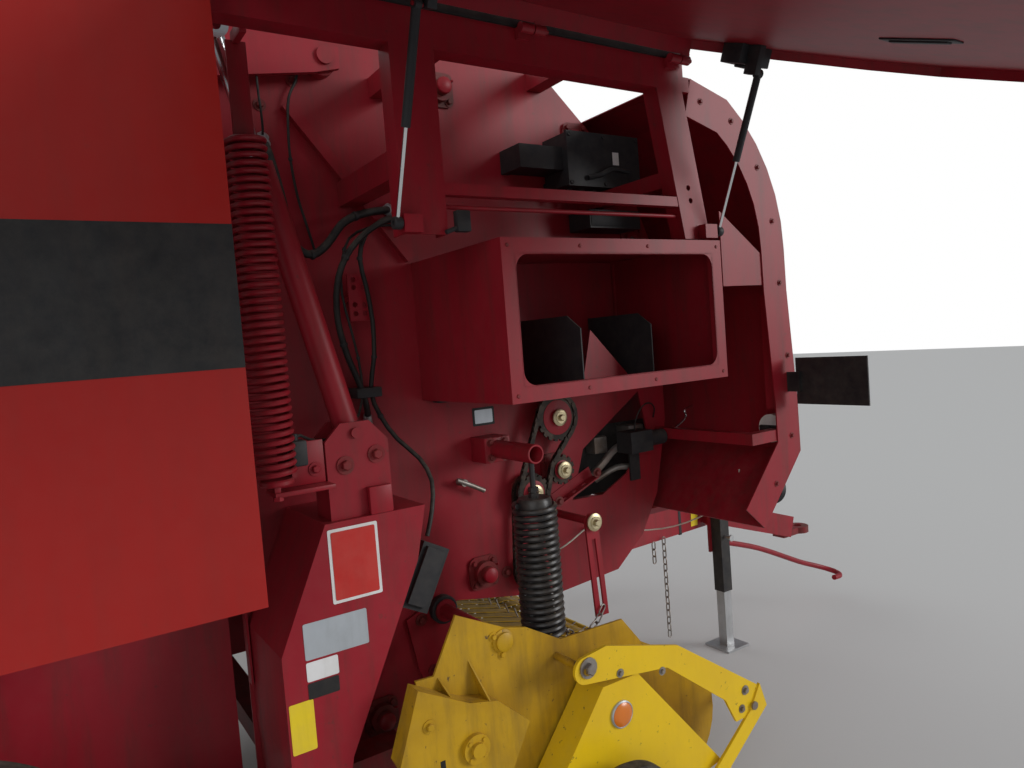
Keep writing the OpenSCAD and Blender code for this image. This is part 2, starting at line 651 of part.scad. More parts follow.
// Side plate of a link with round ends
function link_side(a, b, r) = let (d = atan2(b[1] - a[1], b[0] - a[0])) concat(
    arc(b, r, d - 90, d + 90, 3), arc(a, r, d + 90, d + 270, 3));
module chain(circles, y) {
    p = rollers_on(chain_way(circles));
    n = len(p);
    // Rollers with their inner plates as one block, between pairs of outer plates
    for (k = [0:2:n - 2]) {
        plate(link_side(p[k], p[k + 1], 9), y - chain_w / 2 + 2.5, chain_w - 5);
        for (w = [-chain_w / 2, chain_w / 2 - 2.5])
            plate(link_side(p[k + 1], p[(k + 2) % n], 8), y + w, 2.5);
    }
}
function on_sprocket(k, side) = [chain_shafts[sprocket_table[k][0]][0],
    chain_shafts[sprocket_table[k][0]][1], side * tooth_circle(sprocket_table[k][1])];
module chain_drive() place() color(steel) {
    for (s = sprocket_table) translate([chain_shafts[s[0]][0], chain_y(s[2]),
        chain_shafts[s[0]][1]]) rotate([90, 0, 0]) sprocket(s[1], 7);
    for (k = [4, 5, 6, 9]) round_y(chain_shafts[k][0], chain_shafts[k][1], chain_y(1) - 14,
        -sheet_y - (k == 9 ? 0 : 8), 18);
    chain([on_sprocket(0, 1), on_sprocket(2, 1), on_sprocket(1, -1)], chain_y(1));
    chain([on_sprocket(3, 1), on_sprocket(4, 1)], chain_y(0));
}
// Square flange with cut corners
function flange(x, z, s, c) = [for (p = [[-1, -1], [1, -1], [1, 1], [-1, 1]]) each
    (p[0] * p[1] > 0 ? [[x + p[0] * s, z + p[1] * (s - c)], [x + p[0] * (s - c), z + p[1] * s]]
    : [[x + p[0] * (s - c), z + p[1] * s], [x + p[0] * s, z + p[1] * (s - c)]])];
module roller_bearings() place() both() {
    for (r = front_roller_table) color(dark_red) difference() {
        plate(flange(r[0], r[1], 56, 22), -sheet_y - 8, 8);
        round_y(r[0], r[1], -sheet_y - 9, -sheet_y + 1, roller_shaft_r - 2);
    }
    for (r = front_roller_table) if (r[3] == 1) color(red) {
        round_y(r[0], r[1], -sheet_y - 32, -sheet_y - 8, 42);
        round_y(r[0], r[1], -sheet_y - 52, -sheet_y - 32, 27);
    }
}
module front_rollers() place() color(steel) for (r = front_roller_table) {
    round_y(r[0], r[1], -sheet_y + sheet_t + 4, sheet_y - sheet_t - 4, r[2]);
    round_y(r[0], r[1], -sheet_y, sheet_y, roller_shaft_r - 2);
}
belt_pitch = (2 * (sheet_y - sheet_t) - 24) / belt_count;
front_belt_path = over(concat([[parting_x + 30, sheet_top - 48, 0]],
    [for (i = [0:3]) front_roller_table[i]], [[2200, 1280, 0]]));
module belts(path) for (i = [0:belt_count - 1])
    plate(band(path, belt_t), -belt_count * belt_pitch / 2 + i * belt_pitch
        + (belt_pitch - belt_w) / 2, belt_w);
module front_belts() place() color(rubber) belts(front_belt_path);

// Springs

module coil_y_up(x, y, z0, z1, r, wire) {
    n = round((z1 - z0) / wire);
    step = (z1 - z0) / n;
    translate([x, y, z0]) rotate_extrude($fn = 24) polygon(concat([[r - wire, 0]],
        [for (i = [0:n - 1]) each [[r - wire * 0.35, i * step], [r, (i + 0.3) * step],
            [r, (i + 0.7) * step]]], [[r - wire * 0.35, n * step], [r - wire, n * step]]));
}
// Height of the tube that the pickup's spring hangs from
spring_arm_z = 1255;
module pickup_springs() place() both() {
    color(red) difference() {
        union() {
            round_y(1590, spring_arm_z, -930, -sheet_y, 30);
            block([1540, -sheet_y - 90, spring_arm_z - 44], [1640, -sheet_y, spring_arm_z + 40]);
        }
        round_y(1590, spring_arm_z, -931, -sheet_y - 100, 24);
    }
    color(black) pickup_spring();
}
module pickup_spring() {
    coil_y_up(1590, -900, 648, 1109, 72, 20);
    translate([1590, -900, 1080]) cylinder(r = 54, h = 40);
    translate([1590, -900, 1100]) cylinder(r = 9, h = spring_arm_z - 1125);
}
module tension_springs() place() both() color(red) {
    coil_y_up(792, -975, 1310, 2130, 52, 14);
    block([784, -980, 2120], [800, -970, beam_bottom]);
    translate([792, -975, 2114]) cylinder(r = 42, h = 14);
    translate([792, -975, 1300]) cylinder(r = 42, h = 14);
    block([784, -980, 1280], [800, -970, 1302]);
    block([784, -985, 1270], [935, -cyl_y - 25, 1282]);
    block([784, -beam_y + beam_w, beam_bottom - 8], [800, -965, beam_bottom + 22]);
}

// Tailgate cylinders

module cylinder_brackets() place() both() {
    color(red) {
        block([935, -cyl_y - 52, 1176], [1110, -cyl_y + 52, 1300]);
        for (y = [-cyl_y - 52, -cyl_y + 40])
            difference() {
                plate([[935, 1300], [1110, 1300], [1110, 1370], [1060, 1425], [980, 1425],
                    [935, 1380]], y, 12);
                round_y(cyl_x, cyl_z, y - 1, y + 13, cyl_pin_r - 2);
            }
    }
    color(steel) round_y(cyl_x, cyl_z, -cyl_y - 62, -cyl_y + 62, cyl_pin_r);
}
cyl_start = [cyl_x, -cyl_y, cyl_z];
cyl_end = [lug_x, -cyl_y, lug_z];
cyl_len = norm(cyl_end - cyl_start);
barrel_len = 720;
module cylinder_barrels() place() both() color(red) {
    difference() {
        union() {
            round_y(cyl_x, cyl_z, -cyl_y - 25, -cyl_y + 25, 32);
            along(cyl_start, cyl_end) translate([0, 0, 25])
                cylinder(r = cyl_r, h = barrel_len - 25);
        }
        round_y(cyl_x, cyl_z, -cyl_y - 40, -cyl_y + 40, cyl_pin_r + fit);
        along(cyl_start, cyl_end) translate([0, 0, 300])
            cylinder(r = rod_r + 0.5, h = barrel_len);
    }
}
module cylinder_rods() place() both() color(steel) {
    difference() {
        union() {
            along(cyl_start, cyl_end) translate([0, 0, 320])
                cylinder(r = rod_r, h = cyl_len - 345);
            round_y(lug_x, lug_z, -cyl_y - 22, -cyl_y + 22, 32);
        }
        round_y(lug_x, lug_z, -cyl_y - 40, -cyl_y + 40, 14);
    }
}

// Drive line

module gearbox() place() color(dark_red) {
    block([2270, -150, 820], [2420, 150, 1060]);
    round_y(2345, 940, -sheet_y + 40, sheet_y - 40, 28);
}
pto_back = [2420, 0, 960];
pto_front = [3960, 0, 620];
module pto_shaft() place() {
    color(black) {
        round_x(0, pto_back[2], pto_back[0], pto_back[0] + 60, 30);
        along(pto_back, pto_front) translate([0, 0, 20]) {
            cylinder(r = 45, h = norm(pto_front - pto_back) - 80);
            cylinder(r1 = 85, r2 = 60, h = 150);
        }
        along(pto_front, pto_back) translate([0, 0, 60]) cylinder(r1 = 85, r2 = 60, h = 150);
    }
    color(steel) along(pto_front, pto_back) difference() {
        cylinder(r = 32, h = 70);
        translate([0, 0, -1]) cylinder(r = 17.5, h = 56);
    }
}
module hose_support() place() color(dark_red) {
    block([jack_x + 45, -jack_y + jack_sleeve / 2, 480], [jack_x + 55, -180, 540]);
    hose(smooth([[jack_x + 49, -203, 510], [3500, -185, 405], [3850, -180, 250],
        [3990, -185, 195], [4062, -215, 165], [4078, -262, 152], [4046, -300, 150],
        [3975, -312, 158]], 5), 14, 12);
}

// Marks and lamps

module marker_plates() place() both() color(black) {
    block([2602, -1400, 1305], [2608, -1130, 1470]);
    block([2590, -1150, 1350], [2602, -hood_y, 1420]);
}
module front_lamps() place() both() color([0.92, 0.92, 0.9])
    round_x(-lamp_y, lamp_z, 2575, 2660, lamp_r);

// Tailgate

gate_step = 7.5;
// Flats of the round outline that carry a cross bar, counted from the top
gate_bar_flats = [4, 8, 12, 16, 20];
gate_outline = concat([[parting_back, drum_z + drum_r]],
    arc([drum_x, drum_z], drum_r, 90, 270, 180 / gate_step), [[parting_back, drum_z - drum_r]]);
// Rollers of the tailgate: angle round the drum, radius
gate_roller_table = [[96, 60], [128, 60], [180, 60], [222, 60], [262, 60]];
gate_roller_path = drum_r - 95;
module tailgate_sheets() place() both() color(red) {
    difference() {
        plate(gate_outline, -sheet_y, sheet_t);
        for (r = gate_roller_table) round_y(drum_x + gate_roller_path * cos(r[0]),
            drum_z + gate_roller_path * sin(r[0]), -sheet_y - 1, -sheet_y + sheet_t + 1, 18);
    }
    plate(band(arc([drum_x, drum_z], drum_r, 97.5, 262.5, 165 / gate_step), 6),
        -sheet_y - 30, 30);
}
arm_y = sheet_y + 45;
// Outline of the arms, with heights measured from the hinge
arm_table = [[520, -100], [720, -110], [1090, -50], [1165, -30], [1165, 30], [1090, 45],
    [560, 20]];
arm_outline = [for (p = arm_table) [p[0], gate_hinge_z + p[1]]];
module tailgate_frame() place() {
    both() color(red) {
        difference() {
            union() {
                plate(arm_outline, -arm_y - 20, 20);
                block([560, -arm_y, gate_hinge_z - 85], [700, -sheet_y, gate_hinge_z + 10]);
            }
            round_y(gate_hinge_x, gate_hinge_z, -arm_y - 40, -arm_y + 10, gate_pin_r + fit);
        }
        round_y(lug_x, lug_z, -cyl_y + 33, -arm_y - 20, 32);
        // Stays out to the rear shields
        for (p = [[540, 2300], [-150, 2000], [-330, 1300], [540, 1300]])
            block([p[0], -shield_y + skin_t, p[1]], [p[0] + 40, -sheet_y, p[1] + 40]);
    }
    // Cross bars that lie on the flats of the round sheets
    color(red) for (k = gate_bar_flats) translate([drum_x, 0, drum_z])
        rotate([0, -(90 + (k + 0.5) * gate_step), 0])
        block([drum_r * cos(gate_step / 2), -sheet_y - 30, -28], [drum_r + 52, sheet_y + 30, 28]);
}
shield_outline = concat([[690, shield_top]], arc([-120, shield_top - 400], 400, 90, 170, 8),
    [[-520, 1600], [-480, 1300], [-400, shield_bottom], [690, shield_bottom]]);
module rear_shields() place() both() color(red) {
    plate(shield_outline, -shield_y, skin_t);
    plate([[690, shield_top], [-120, shield_top], [-120, shield_top - skin_t],
        [690, shield_top - skin_t]], -shield_y, 200);
    block([690 - skin_t, -shield_y, shield_bottom], [690, -shield_y + fold, shield_top]);
    block([-400, -shield_y, shield_bottom], [690, -shield_y + fold, shield_bottom + skin_t]);
}
module shield_stripes() place() both() color(black)
    block([-500, -shield_y - 1, stripe_bottom], [690, -shield_y, stripe_top]);
module tailgate_rollers() place() color(steel) for (r = gate_roller_table) {
    x = drum_x + gate_roller_path * cos(r[0]);
    z = drum_z + gate_roller_path * sin(r[0]);
    round_y(x, z, -sheet_y + sheet_t + 4, sheet_y - sheet_t - 4, r[1]);
    round_y(x, z, -sheet_y - 10, sheet_y + 10, 18);
}
module tailgate_belts() place() color(rubber)
    belts(concat(arc([drum_x, drum_z], drum_r - 33, 266, 92, 24),
        [[parting_back - 10, drum_z + drum_r - 33]]));
module rear_lamps() place() both() {
    color([0.6, 0.05, 0.05]) block([-520, -1150, 1180], [-470, -980, 1260]);
    color(black) block([-470, -1160, 1170], [-440, -970, 1270]);
    color(red) block([-450, -1080, 1270], [-440, -1050, 1320]);
    color(red) block([-440, -1080, 1300], [-330, -1050, 1320]);
}

// Doors

door_path = concat([[2140, door_hinge_z + 3], [2330, 2260], [2480, 2040], [2555, 1860],
    [2565, 1700], [2572, 1320], [2572, 1130], [2520, door_bottom]]);
door_outline = concat([[door_back, door_hinge_z + 3]], door_path, [[door_back, door_bottom]]);
strut_eye_y = door_hinge_y - 15;
strut_eye_z = door_hinge_z - 202;
strut_foot_y = 1130;
strut_foot_z = 1910;
strut_barrel = 250;
// Struts: forward place, direction of the bracket, foot block from and to
strut_table = [[1095, 1, 1110, 1160], [2240, -1, 2170, 2224]];
strut_pin_r = 5;
// A door hanging closed on the right side
module door_closed() {
    color(red) {
        plate(door_outline, -shield_y, skin_t);
        block([door_back, -shield_y, door_hinge_z - 1], [2140, -door_hinge_y - 16,
            door_hinge_z + 3]);
        block([door_back, -shield_y, door_bottom], [door_back + skin_t, -shield_y + fold,
            door_hinge_z]);
        block([door_back, -shield_y, door_bottom], [2520, -shield_y + fold,
            door_bottom + skin_t]);
        plate(band(door_path, -skin_t), -shield_y, fold);
    }
    color(dark_red) for (x = [864, 1544, 2104]) {
        block([x, -door_hinge_y - 20, door_hinge_z - 3], [x + 36, -door_hinge_y - 8,
            door_hinge_z + 3]);
        difference() {
            round_x(-door_hinge_y, door_hinge_z, x, x + 36, 14);
            round_x(-door_hinge_y, door_hinge_z, x - 1, x + 37, 6 + fit);
        }
    }
    color(black) for (s = strut_table)
        block([s[0] + s[1] * 28 - 10, -shield_y + skin_t, strut_eye_z - 20],
            [s[0] + s[1] * 28 + 10, -strut_eye_y + 4, strut_eye_z + 20]);
    color(black) for (s = strut_table)
        block([s[0] - 65, -shield_y + skin_t, strut_eye_z + 26],
            [s[0] + 65, -shield_y + 56, strut_eye_z + 96]);
    color(steel) for (s = strut_table)
        round_x(-strut_eye_y, strut_eye_z, s[0] - 12, s[0] + 12, strut_pin_r - fit);
    color(steel) for (s = strut_table)
        round_x(-strut_eye_y, strut_eye_z, min(s[0], s[0] + s[1] * 20),
            max(s[0], s[0] + s[1] * 20), strut_pin_r - fit);
}
module door_swing(a) translate([0, -door_hinge_y, door_hinge_z]) rotate([-a, 0, 0])
    translate([0, door_hinge_y, -door_hinge_z]) children();
module right_door() place() door_swing(door_open) door_closed();
module left_door() place() mirror([0, 1, 0]) door_closed();

// Eye of the strut on the door with the door turned up by an angle
function door_eye(a) = let (v = [door_hinge_y - strut_eye_y, strut_eye_z - door_hinge_z])
    [-door_hinge_y + v[0] * cos(a) + v[1] * sin(a), door_hinge_z - v[0] * sin(a)
        + v[1] * cos(a)];
module strut_barrels(a) for (s = strut_table) color(black) {
    e = door_eye(a);
    top = [s[0], e[0], e[1]];
    foot = [s[0], -strut_foot_y, strut_foot_z];
    difference() {
        union() {
            round_x(e[0], e[1], s[0] - 8, s[0] + 8, 14);
            along(top, foot) translate([0, 0, 8]) cylinder(r = strut_r, h = strut_barrel);
        }
        along(top, foot) translate([0, 0, 30]) cylinder(r = strut_rod_r + 0.5, h = 400);
        round_x(e[0], e[1], s[0] - 9, s[0] + 9, strut_pin_r);
    }
}
module strut_rods(a, length) for (s = strut_table) color(steel) {
    e = door_eye(a);
    top = [s[0], e[0], e[1]];
    foot = [s[0], -strut_foot_y, strut_foot_z];
    difference() {
        union() {
            along(foot, top) translate([0, 0, 8]) cylinder(r = strut_rod_r, h = length);
            round_x(foot[1], foot[2], s[0] - 7, s[0] + 7, 11);
        }
        round_x(foot[1], foot[2], s[0] - 9, s[0] + 9, strut_pin_r);
    }
}
rod_length = 270;
module right_strut_barrels() place() strut_barrels(door_open);
module right_strut_rods() place() strut_rods(door_open, rod_length);
module left_strut_barrels() place() mirror([0, 1, 0]) strut_barrels(0);
module left_strut_rods() place() mirror([0, 1, 0]) strut_rods(0, rod_length);

// Pickup

// Outline of the side plates, round in front of the reel
pick_plate = concat([[1035, 470], [1102, 696], [1097, 723], [1152, 720], [1232, 867],
    [1386, 790], [1460, 770], [1580, 700], [1826, 694], [1900, 600]],
    arc([reel_x, reel_z], reel_r - 6, 70, -100, 14), [[1600, 200], [1320, 330], [1150, 400]]);
// Raised cover over the drive at the plate's rear
pick_cover = [[1010, 547], [1075, 726], [1223, 644], [1310, 622], [1410, 530], [1330, 390],
    [1250, 345], [1060, 440]];
cover_h = 60;
// Gussets on the cover's upper edge: foot and top, as forward place and height
gusset_table = [[1290, 628, 1262, 735], [1180, 664, 1165, 716]];
module pickup_frame() place() {
    both() color(yellow) difference() {
        plate(pick_plate, -pick_y, 8);
        round_y(pick_pivot_x, pick_pivot_z, -pick_y - 1, -pick_y + 9, 22 + fit);
        round_y(reel_x, reel_z, -pick_y - 1, -pick_y + 9, 24 + fit);
    }
    color(yellow) {
        round_y(1520, 330, -pick_y + 8, pick_y - 8, 45);
        // Plain round bearing in the cover
        both() round_y(1228, 520, -pick_y - cover_h - 14, -pick_y - cover_h, 40);
        both() round_y(1228, 520, -pick_y - cover_h - 26, -pick_y - cover_h - 14, 20);
        // Studs that hold the shields
        both() for (p = [[1650, 500], [1560, 340]])
            round_y(p[0], p[1], -pick_y - shield_depth + skin_t, -pick_y, 14);
        round_y(1400, 480, -pick_y + 8, pick_y - 8, 25);
    }
    both() color(yellow) {
        block([1540, -pick_y - 150, 160], [1580, -pick_y - 8 + 8, 230]);
        round_y(1620, gauge_r + 25, -pick_y - 272, -pick_y - 150, 12);
        block([1540, -pick_y - 170, 160], [1640, -pick_y - 150, 230]);
        round_y(guard_pivot[0], guard_pivot[1], -pick_y - 150, -pick_y, 12);
        // Lug that the spring's strap pulls on
        plate([[1520, 350], [1605, 380], [1605, 430], [1575, 430], [1500, 350]], -895, 8);
    }
    both() color(yellow) {
        difference() {
            plate(pick_cover, -pick_y - cover_h, cover_h);
            plate([for (p = pick_cover) [1210 + (p[0] - 1210) * 0.965, 530 + (p[1] - 530)
                * 0.955]], -pick_y - cover_h + skin_t, cover_h + 1);
        }
        for (g = gusset_table) let (d = atan2(g[3] - g[1], g[2] - g[0]),
            len = norm([g[2] - g[0], g[3] - g[1]]))
            translate([g[0], -pick_y, g[1]]) rotate([0, -d, 0]) linear_extrude(4)
                polygon([[-4, 1], [len, 1], [-4, -cover_h + 2]]);
    }
    // Bars that carry the bands
    color(yellow) {
        block([1490, -pick_y + 8, 270], [1550, pick_y - 8, 300]);
        block([1500, -pick_y + 8, 520], [1560, pick_y - 8, 560]);
    }
}
shield_pick = [[1410, 295], [1634, 575], [1771, 575], [2110, 175], [2040, 165], [1800, 205]];
shield_gap = 12;
shield_depth = 120;
module spring_straps() place() both() color(black) {
    block([1583, -905, 395], [1597, -895, 632]);
    round_y(1590, 640, -908, -892, 14);
}
module pickup_shields() place() both() color(yellow) difference() {
    plate(shield_pick, -pick_y - shield_depth, shield_depth - shield_gap);
    translate([0, skin_t, 0]) plate([for (p = shield_pick)
        [1740 + (p[0] - 1740) * 0.985, 350 + (p[1] - 350) * 0.972]], -pick_y - shield_depth, 130);
}
bands_r = 175;
band_path = concat([[1500, 560], [1560, 560]], arc([reel_x, reel_z], bands_r, 100, -90, 16),
    [[1700, 150], [1560, 270], [1490, 270]]);
band_pitch = 2 * (pick_y - 20) / tine_count;
module pickup_bands() place() color(yellow) for (i = [1:tine_count - 3])
    plate(band(band_path, 3), -pick_y + 20 + (i + 1) * band_pitch - band_pitch * 0.36,
        band_pitch * 0.72);
module pickup_reel() place() color(steel) {
    round_y(reel_x, reel_z, -pick_y, pick_y, 24);
    for (k = [0:tine_bars - 1]) let (a = 360 * k / tine_bars + 20) {
        bx = reel_x + 120 * cos(a);
        bz = reel_z + 120 * sin(a);
        round_y(bx, bz, -pick_y + 30, pick_y - 30, 14);
        for (i = [0:tine_count - 1]) translate([bx, -pick_y + 20 + (i + 0.5) * band_pitch, bz])
            rotate([0, 90 - a, 0]) cylinder(r = 3.5, h = reel_r - 120, $fn = 6);
    }
    for (y = [-pick_y + 40, -10, pick_y - 60]) round_y(reel_x, reel_z, y, y + 12, 126);
}
module gauge_wheel() translate([1620, -pick_y - 222, gauge_r + 25]) rotate([90, 0, 0]) {
    color(rubber) rotate_extrude($fn = 48) polygon([[60, -gauge_w / 2 + 12],
        [gauge_r - 40, -gauge_w / 2], [gauge_r - 12, -gauge_w / 2 + 6], [gauge_r, -20],
        [gauge_r, 20], [gauge_r - 12, gauge_w / 2 - 6], [gauge_r - 40, gauge_w / 2],
        [60, gauge_w / 2 - 12]]);
    color(yellow) rotate_extrude($fn = 32) polygon([[12 + fit, -gauge_w / 2 + 10], [60, -20],
        [60, 20], [12 + fit, gauge_w / 2 - 10]]);
}
module right_gauge_wheel() place() gauge_wheel();
module left_gauge_wheel() place() mirror([0, 1, 0]) gauge_wheel();
guard_pivot = [1560, 655];
guard_arm = concat(arc(guard_pivot, 40, 110, 265, 8), [[1875, 567], [2126, 377],
    [2171, 290], [2270, 290], [2285, 380], [1926, 622], [1640, 704]]);
// Trailing side member below the arm's tip
guard_tail = [[2290, 385], [2320, 300], [2090, 130], [2045, 165], [2240, 310]];
module windguard() place() {
    both() color(yellow) difference() {
        union() {
            plate(guard_arm, -pick_y - 140, 10);
            plate(guard_tail, -pick_y - 146, 10);
        }
        round_y(guard_pivot[0], guard_pivot[1], -pick_y - 141, -pick_y - 129, 12 + fit);
    }
    color(yellow) round_y(2255, 320, -pick_y - 130, pick_y + 130, 20);
}

right_side_sheet();
left_side_sheet();
axle_frame();
leg_covers();
door_frame();
front_hood();
hood_corners();
drawbar();
drawbar_eye();
jack_sleeve();
jack_leg();
twine_box();
twine_dividers();
control_boxes();
chain_drive();
roller_bearings();
front_rollers();
front_belts();
pickup_springs();
tension_springs();
cylinder_brackets();
gearbox();
pto_shaft();
marker_plates();
front_lamps();
hose_support();
tailgate_sheets();
tailgate_frame();
rear_shields();
shield_stripes();
tailgate_rollers();
tailgate_belts();
rear_lamps();
cylinder_barrels();
cylinder_rods();
right_door();
right_strut_barrels();
right_strut_rods();
left_door();
left_strut_barrels();
left_strut_rods();
right_tyre();
right_rim();
left_tyre();
left_rim();
pickup_frame();
pickup_shields();
pickup_bands();
spring_straps();
pickup_reel();
right_gauge_wheel();
left_gauge_wheel();
windguard();
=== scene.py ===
# %% [markdown]
# # A round baler, dressed in Blender
# The steel model comes in as a fixed frame: every sheet, beam, wheel and
# roller already has its size and its place, and it can open and turn at its
# joints. This lesson gives that frame its paint, steel and rubber, and adds
# what a drawing leaves out, such as coil springs, chains, bolts and hoses.

# %% Load the frame
import math

import bmesh
import bpy
from mathutils import Matrix, Vector


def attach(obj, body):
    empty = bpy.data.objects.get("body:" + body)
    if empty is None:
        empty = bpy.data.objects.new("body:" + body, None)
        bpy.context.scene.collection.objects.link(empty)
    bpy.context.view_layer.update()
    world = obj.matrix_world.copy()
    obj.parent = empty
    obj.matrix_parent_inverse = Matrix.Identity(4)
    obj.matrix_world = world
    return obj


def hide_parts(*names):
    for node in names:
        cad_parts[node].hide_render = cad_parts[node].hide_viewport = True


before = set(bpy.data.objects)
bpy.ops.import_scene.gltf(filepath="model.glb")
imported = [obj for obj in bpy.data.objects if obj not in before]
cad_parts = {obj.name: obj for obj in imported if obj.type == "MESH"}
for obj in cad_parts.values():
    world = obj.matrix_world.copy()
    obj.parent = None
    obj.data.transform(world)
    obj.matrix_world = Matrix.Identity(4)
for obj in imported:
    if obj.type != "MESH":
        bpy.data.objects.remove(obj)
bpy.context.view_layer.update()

# %% [markdown]
# ## Places on the machine
# The frame's origin is the hole in the drawbar's eye, and it counts metres.
# A workshop measures in millimetres: forward from the axle, left from the
# centre line and up from the ground. So all shapes are drawn that way, and
# one matrix brings each of them into the frame.

# %% Measure from the axle and the ground
MM = 1000
EYE_FORWARD = 4.1
EYE_HEIGHT = 0.36


def spot(forward, left, up):
    return Vector((forward / MM - EYE_FORWARD, left / MM, up / MM - EYE_HEIGHT))


def put(name, data):
    thing = bpy.data.objects.new(name, data)
    bpy.context.scene.collection.objects.link(thing)
    return thing


INTO_FRAME = Matrix.Translation(spot(0, 0, 0)) @ Matrix.Scale(1 / MM, 4)
print("axle", spot(0, 0, 425))

# %% [markdown]
# ## The camera
# The photograph was taken from behind the right wheel, close to the machine
# and looking forward. A camera's own axes are right, up and backwards, so
# its turn is written straight from the way it looks and the way its picture
# leans. The lens is given for a sensor 36 mm wide.

# %% Set up the camera
LOOK = Vector((0.5482, 0.8345, -0.055)).normalized()
PICTURE_UP = Vector((0.0942, 0.0037, 0.9955)).normalized()
SENSOR_WIDTH = 36.0
PICTURE_PIXELS = 1024
FOCAL_PIXELS = 745

picture_right = LOOK.cross(PICTURE_UP).normalized()
turn = Matrix((picture_right, picture_right.cross(LOOK), -LOOK)).transposed()
camera_data = bpy.data.cameras.new("photo_camera")
camera_data.sensor_width = SENSOR_WIDTH
camera_data.lens = FOCAL_PIXELS / PICTURE_PIXELS * SENSOR_WIDTH
camera_data.clip_start = 0.05
camera = put("photo_camera", camera_data)
camera.matrix_world = Matrix.Translation(spot(300, -2790, 1600)) @ turn.to_4x4()
bpy.context.scene.camera = camera
bpy.context.scene.view_settings.view_transform = "Standard"
print("lens in mm", round(camera_data.lens, 1))

# %% [markdown]
# ## Shader nodes
# A shader is a tree of nodes, and each input takes either a value or the
# output of another node. So one function feeds both kinds from a table, and
# a node is made and joined in one line.

# %% Helpers that make and feed a node
def feed(tree, node, inputs):
    for name, value in inputs.items():
        if isinstance(value, bpy.types.NodeSocket):
            tree.links.new(value, node.inputs[name])
        else:
            node.inputs[name].default_value = value


def add_node(tree, kind, inputs=None, **settings):
    node = tree.nodes.new(kind)
    for name, value in settings.items():
        setattr(node, name, value)
    feed(tree, node, inputs or {})
    return node


# %% [markdown]
# ## Floor, sky and lamps
# The light is plain: a sky that lights evenly, one broad and low sun from
# the front right, where the yard's door was, a weaker one from behind the
# camera and a weak one from the left. The sky is white where the camera sees
# it, weaker where it lights the machine, and weakest in reflections. A bright
# sky would lay a pale veil on the paint, and the real one stood in a shed.

# %% Make the floor and the light
FLOOR_HALF = 30
FLOOR_BELOW = 0.001

floor_mesh = bmesh.new()
bmesh.ops.create_grid(floor_mesh, x_segments=2, y_segments=2, size=FLOOR_HALF)
bmesh.ops.translate(floor_mesh, verts=floor_mesh.verts, vec=(-2.0, 0, -EYE_HEIGHT - FLOOR_BELOW))
floor_data = bpy.data.meshes.new("floor")
floor_mesh.to_mesh(floor_data)
floor_mesh.free()
floor = put("floor", floor_data)

floor_paint = bpy.data.materials.new("pale_floor")
floor_paint.use_nodes = True
feed(floor_paint.node_tree, floor_paint.node_tree.nodes["Principled BSDF"],
     {"Base Color": (0.62, 0.62, 0.61, 1), "Roughness": 0.85})
floor_data.materials.append(floor_paint)

world = bpy.data.worlds.new("studio")
bpy.context.scene.world = world
world.use_nodes = True
sky = world.node_tree
sky_light = sky.nodes["Background"]
feed(sky, sky_light, {"Color": (0.95, 0.97, 1.0, 1), "Strength": 0.45})
sky_seen = add_node(sky, "ShaderNodeBackground", {"Color": (1, 1, 1, 1), "Strength": 1.0})
sky_mirrored = add_node(sky, "ShaderNodeBackground",
                        {"Color": (0.9, 0.94, 1.0, 1), "Strength": 0.2})
ray_kind = add_node(sky, "ShaderNodeLightPath")
light_choice = add_node(sky, "ShaderNodeMixShader", {
    0: ray_kind.outputs["Is Glossy Ray"], 1: sky_light.outputs[0], 2: sky_mirrored.outputs[0]})
sky_choice = add_node(sky, "ShaderNodeMixShader", {
    0: ray_kind.outputs["Is Camera Ray"], 1: light_choice.outputs[0], 2: sky_seen.outputs[0]})
feed(sky, sky.nodes["World Output"], {"Surface": sky_choice.outputs[0]})

# Name, the way the light travels, strength, and softness in degrees
for name, travel, strength, softness in (("yard_light", (-0.7, 0.68, -0.24), 1.5, 25),
                                         ("shed_light", (0.7, 0.62, -0.35), 0.55, 40),
                                         ("left_light", (0.2, -0.8, -0.6), 0.4, 40)):
    sun = bpy.data.lights.new(name, "SUN")
    sun.energy = strength
    sun.angle = math.radians(softness)
    put(name, sun).rotation_euler = Vector(travel).to_track_quat("-Z", "Y").to_euler()

# %% [markdown]
# ## Wear and dust as shader groups
# Every finish on a farm machine shows the same things: patches where the
# colour has faded, small chips and greasy streaks, and dust that settles on
# what faces up. Each is a group, built once with named sockets, and every
# material places it with its own values. A group only works out colours and
# masks, and the shader stays in the material.

# %% Helpers that build a group
COLOUR_A, COLOUR_B, COLOUR_OUT = 6, 7, 2
FLOAT_A, FLOAT_B = 2, 3


def new_group(name, ins, outs):
    group = bpy.data.node_groups.new(name, "ShaderNodeTree")
    for label, value in ins.items():
        kind = "NodeSocketColor" if isinstance(value, tuple) else "NodeSocketFloat"
        socket = group.interface.new_socket(name=label, in_out="INPUT", socket_type=kind)
        socket.default_value = value
    for label in outs:
        kind = "NodeSocketColor" if label == "Color" else "NodeSocketFloat"
        group.interface.new_socket(name=label, in_out="OUTPUT", socket_type=kind)
    given = group.nodes.new("NodeGroupInput").outputs
    result = group.nodes.new("NodeGroupOutput")
    coords = add_node(group, "ShaderNodeTexCoord").outputs["Object"]
    return group, given, result, coords


def multiply(tree, first, second):
    return add_node(tree, "ShaderNodeMath", {0: first, 1: second}, operation="MULTIPLY").outputs[0]


def noise_mask(tree, place, scale, detail, roughness, low, high, share):
    noise = add_node(tree, "ShaderNodeTexNoise", {
        "Vector": place, "Scale": scale, "Detail": detail, "Roughness": roughness})
    band = add_node(tree, "ShaderNodeMapRange", {
        "Value": noise.outputs["Fac"], "From Min": low, "From Max": high})
    return multiply(tree, band.outputs["Result"], share)


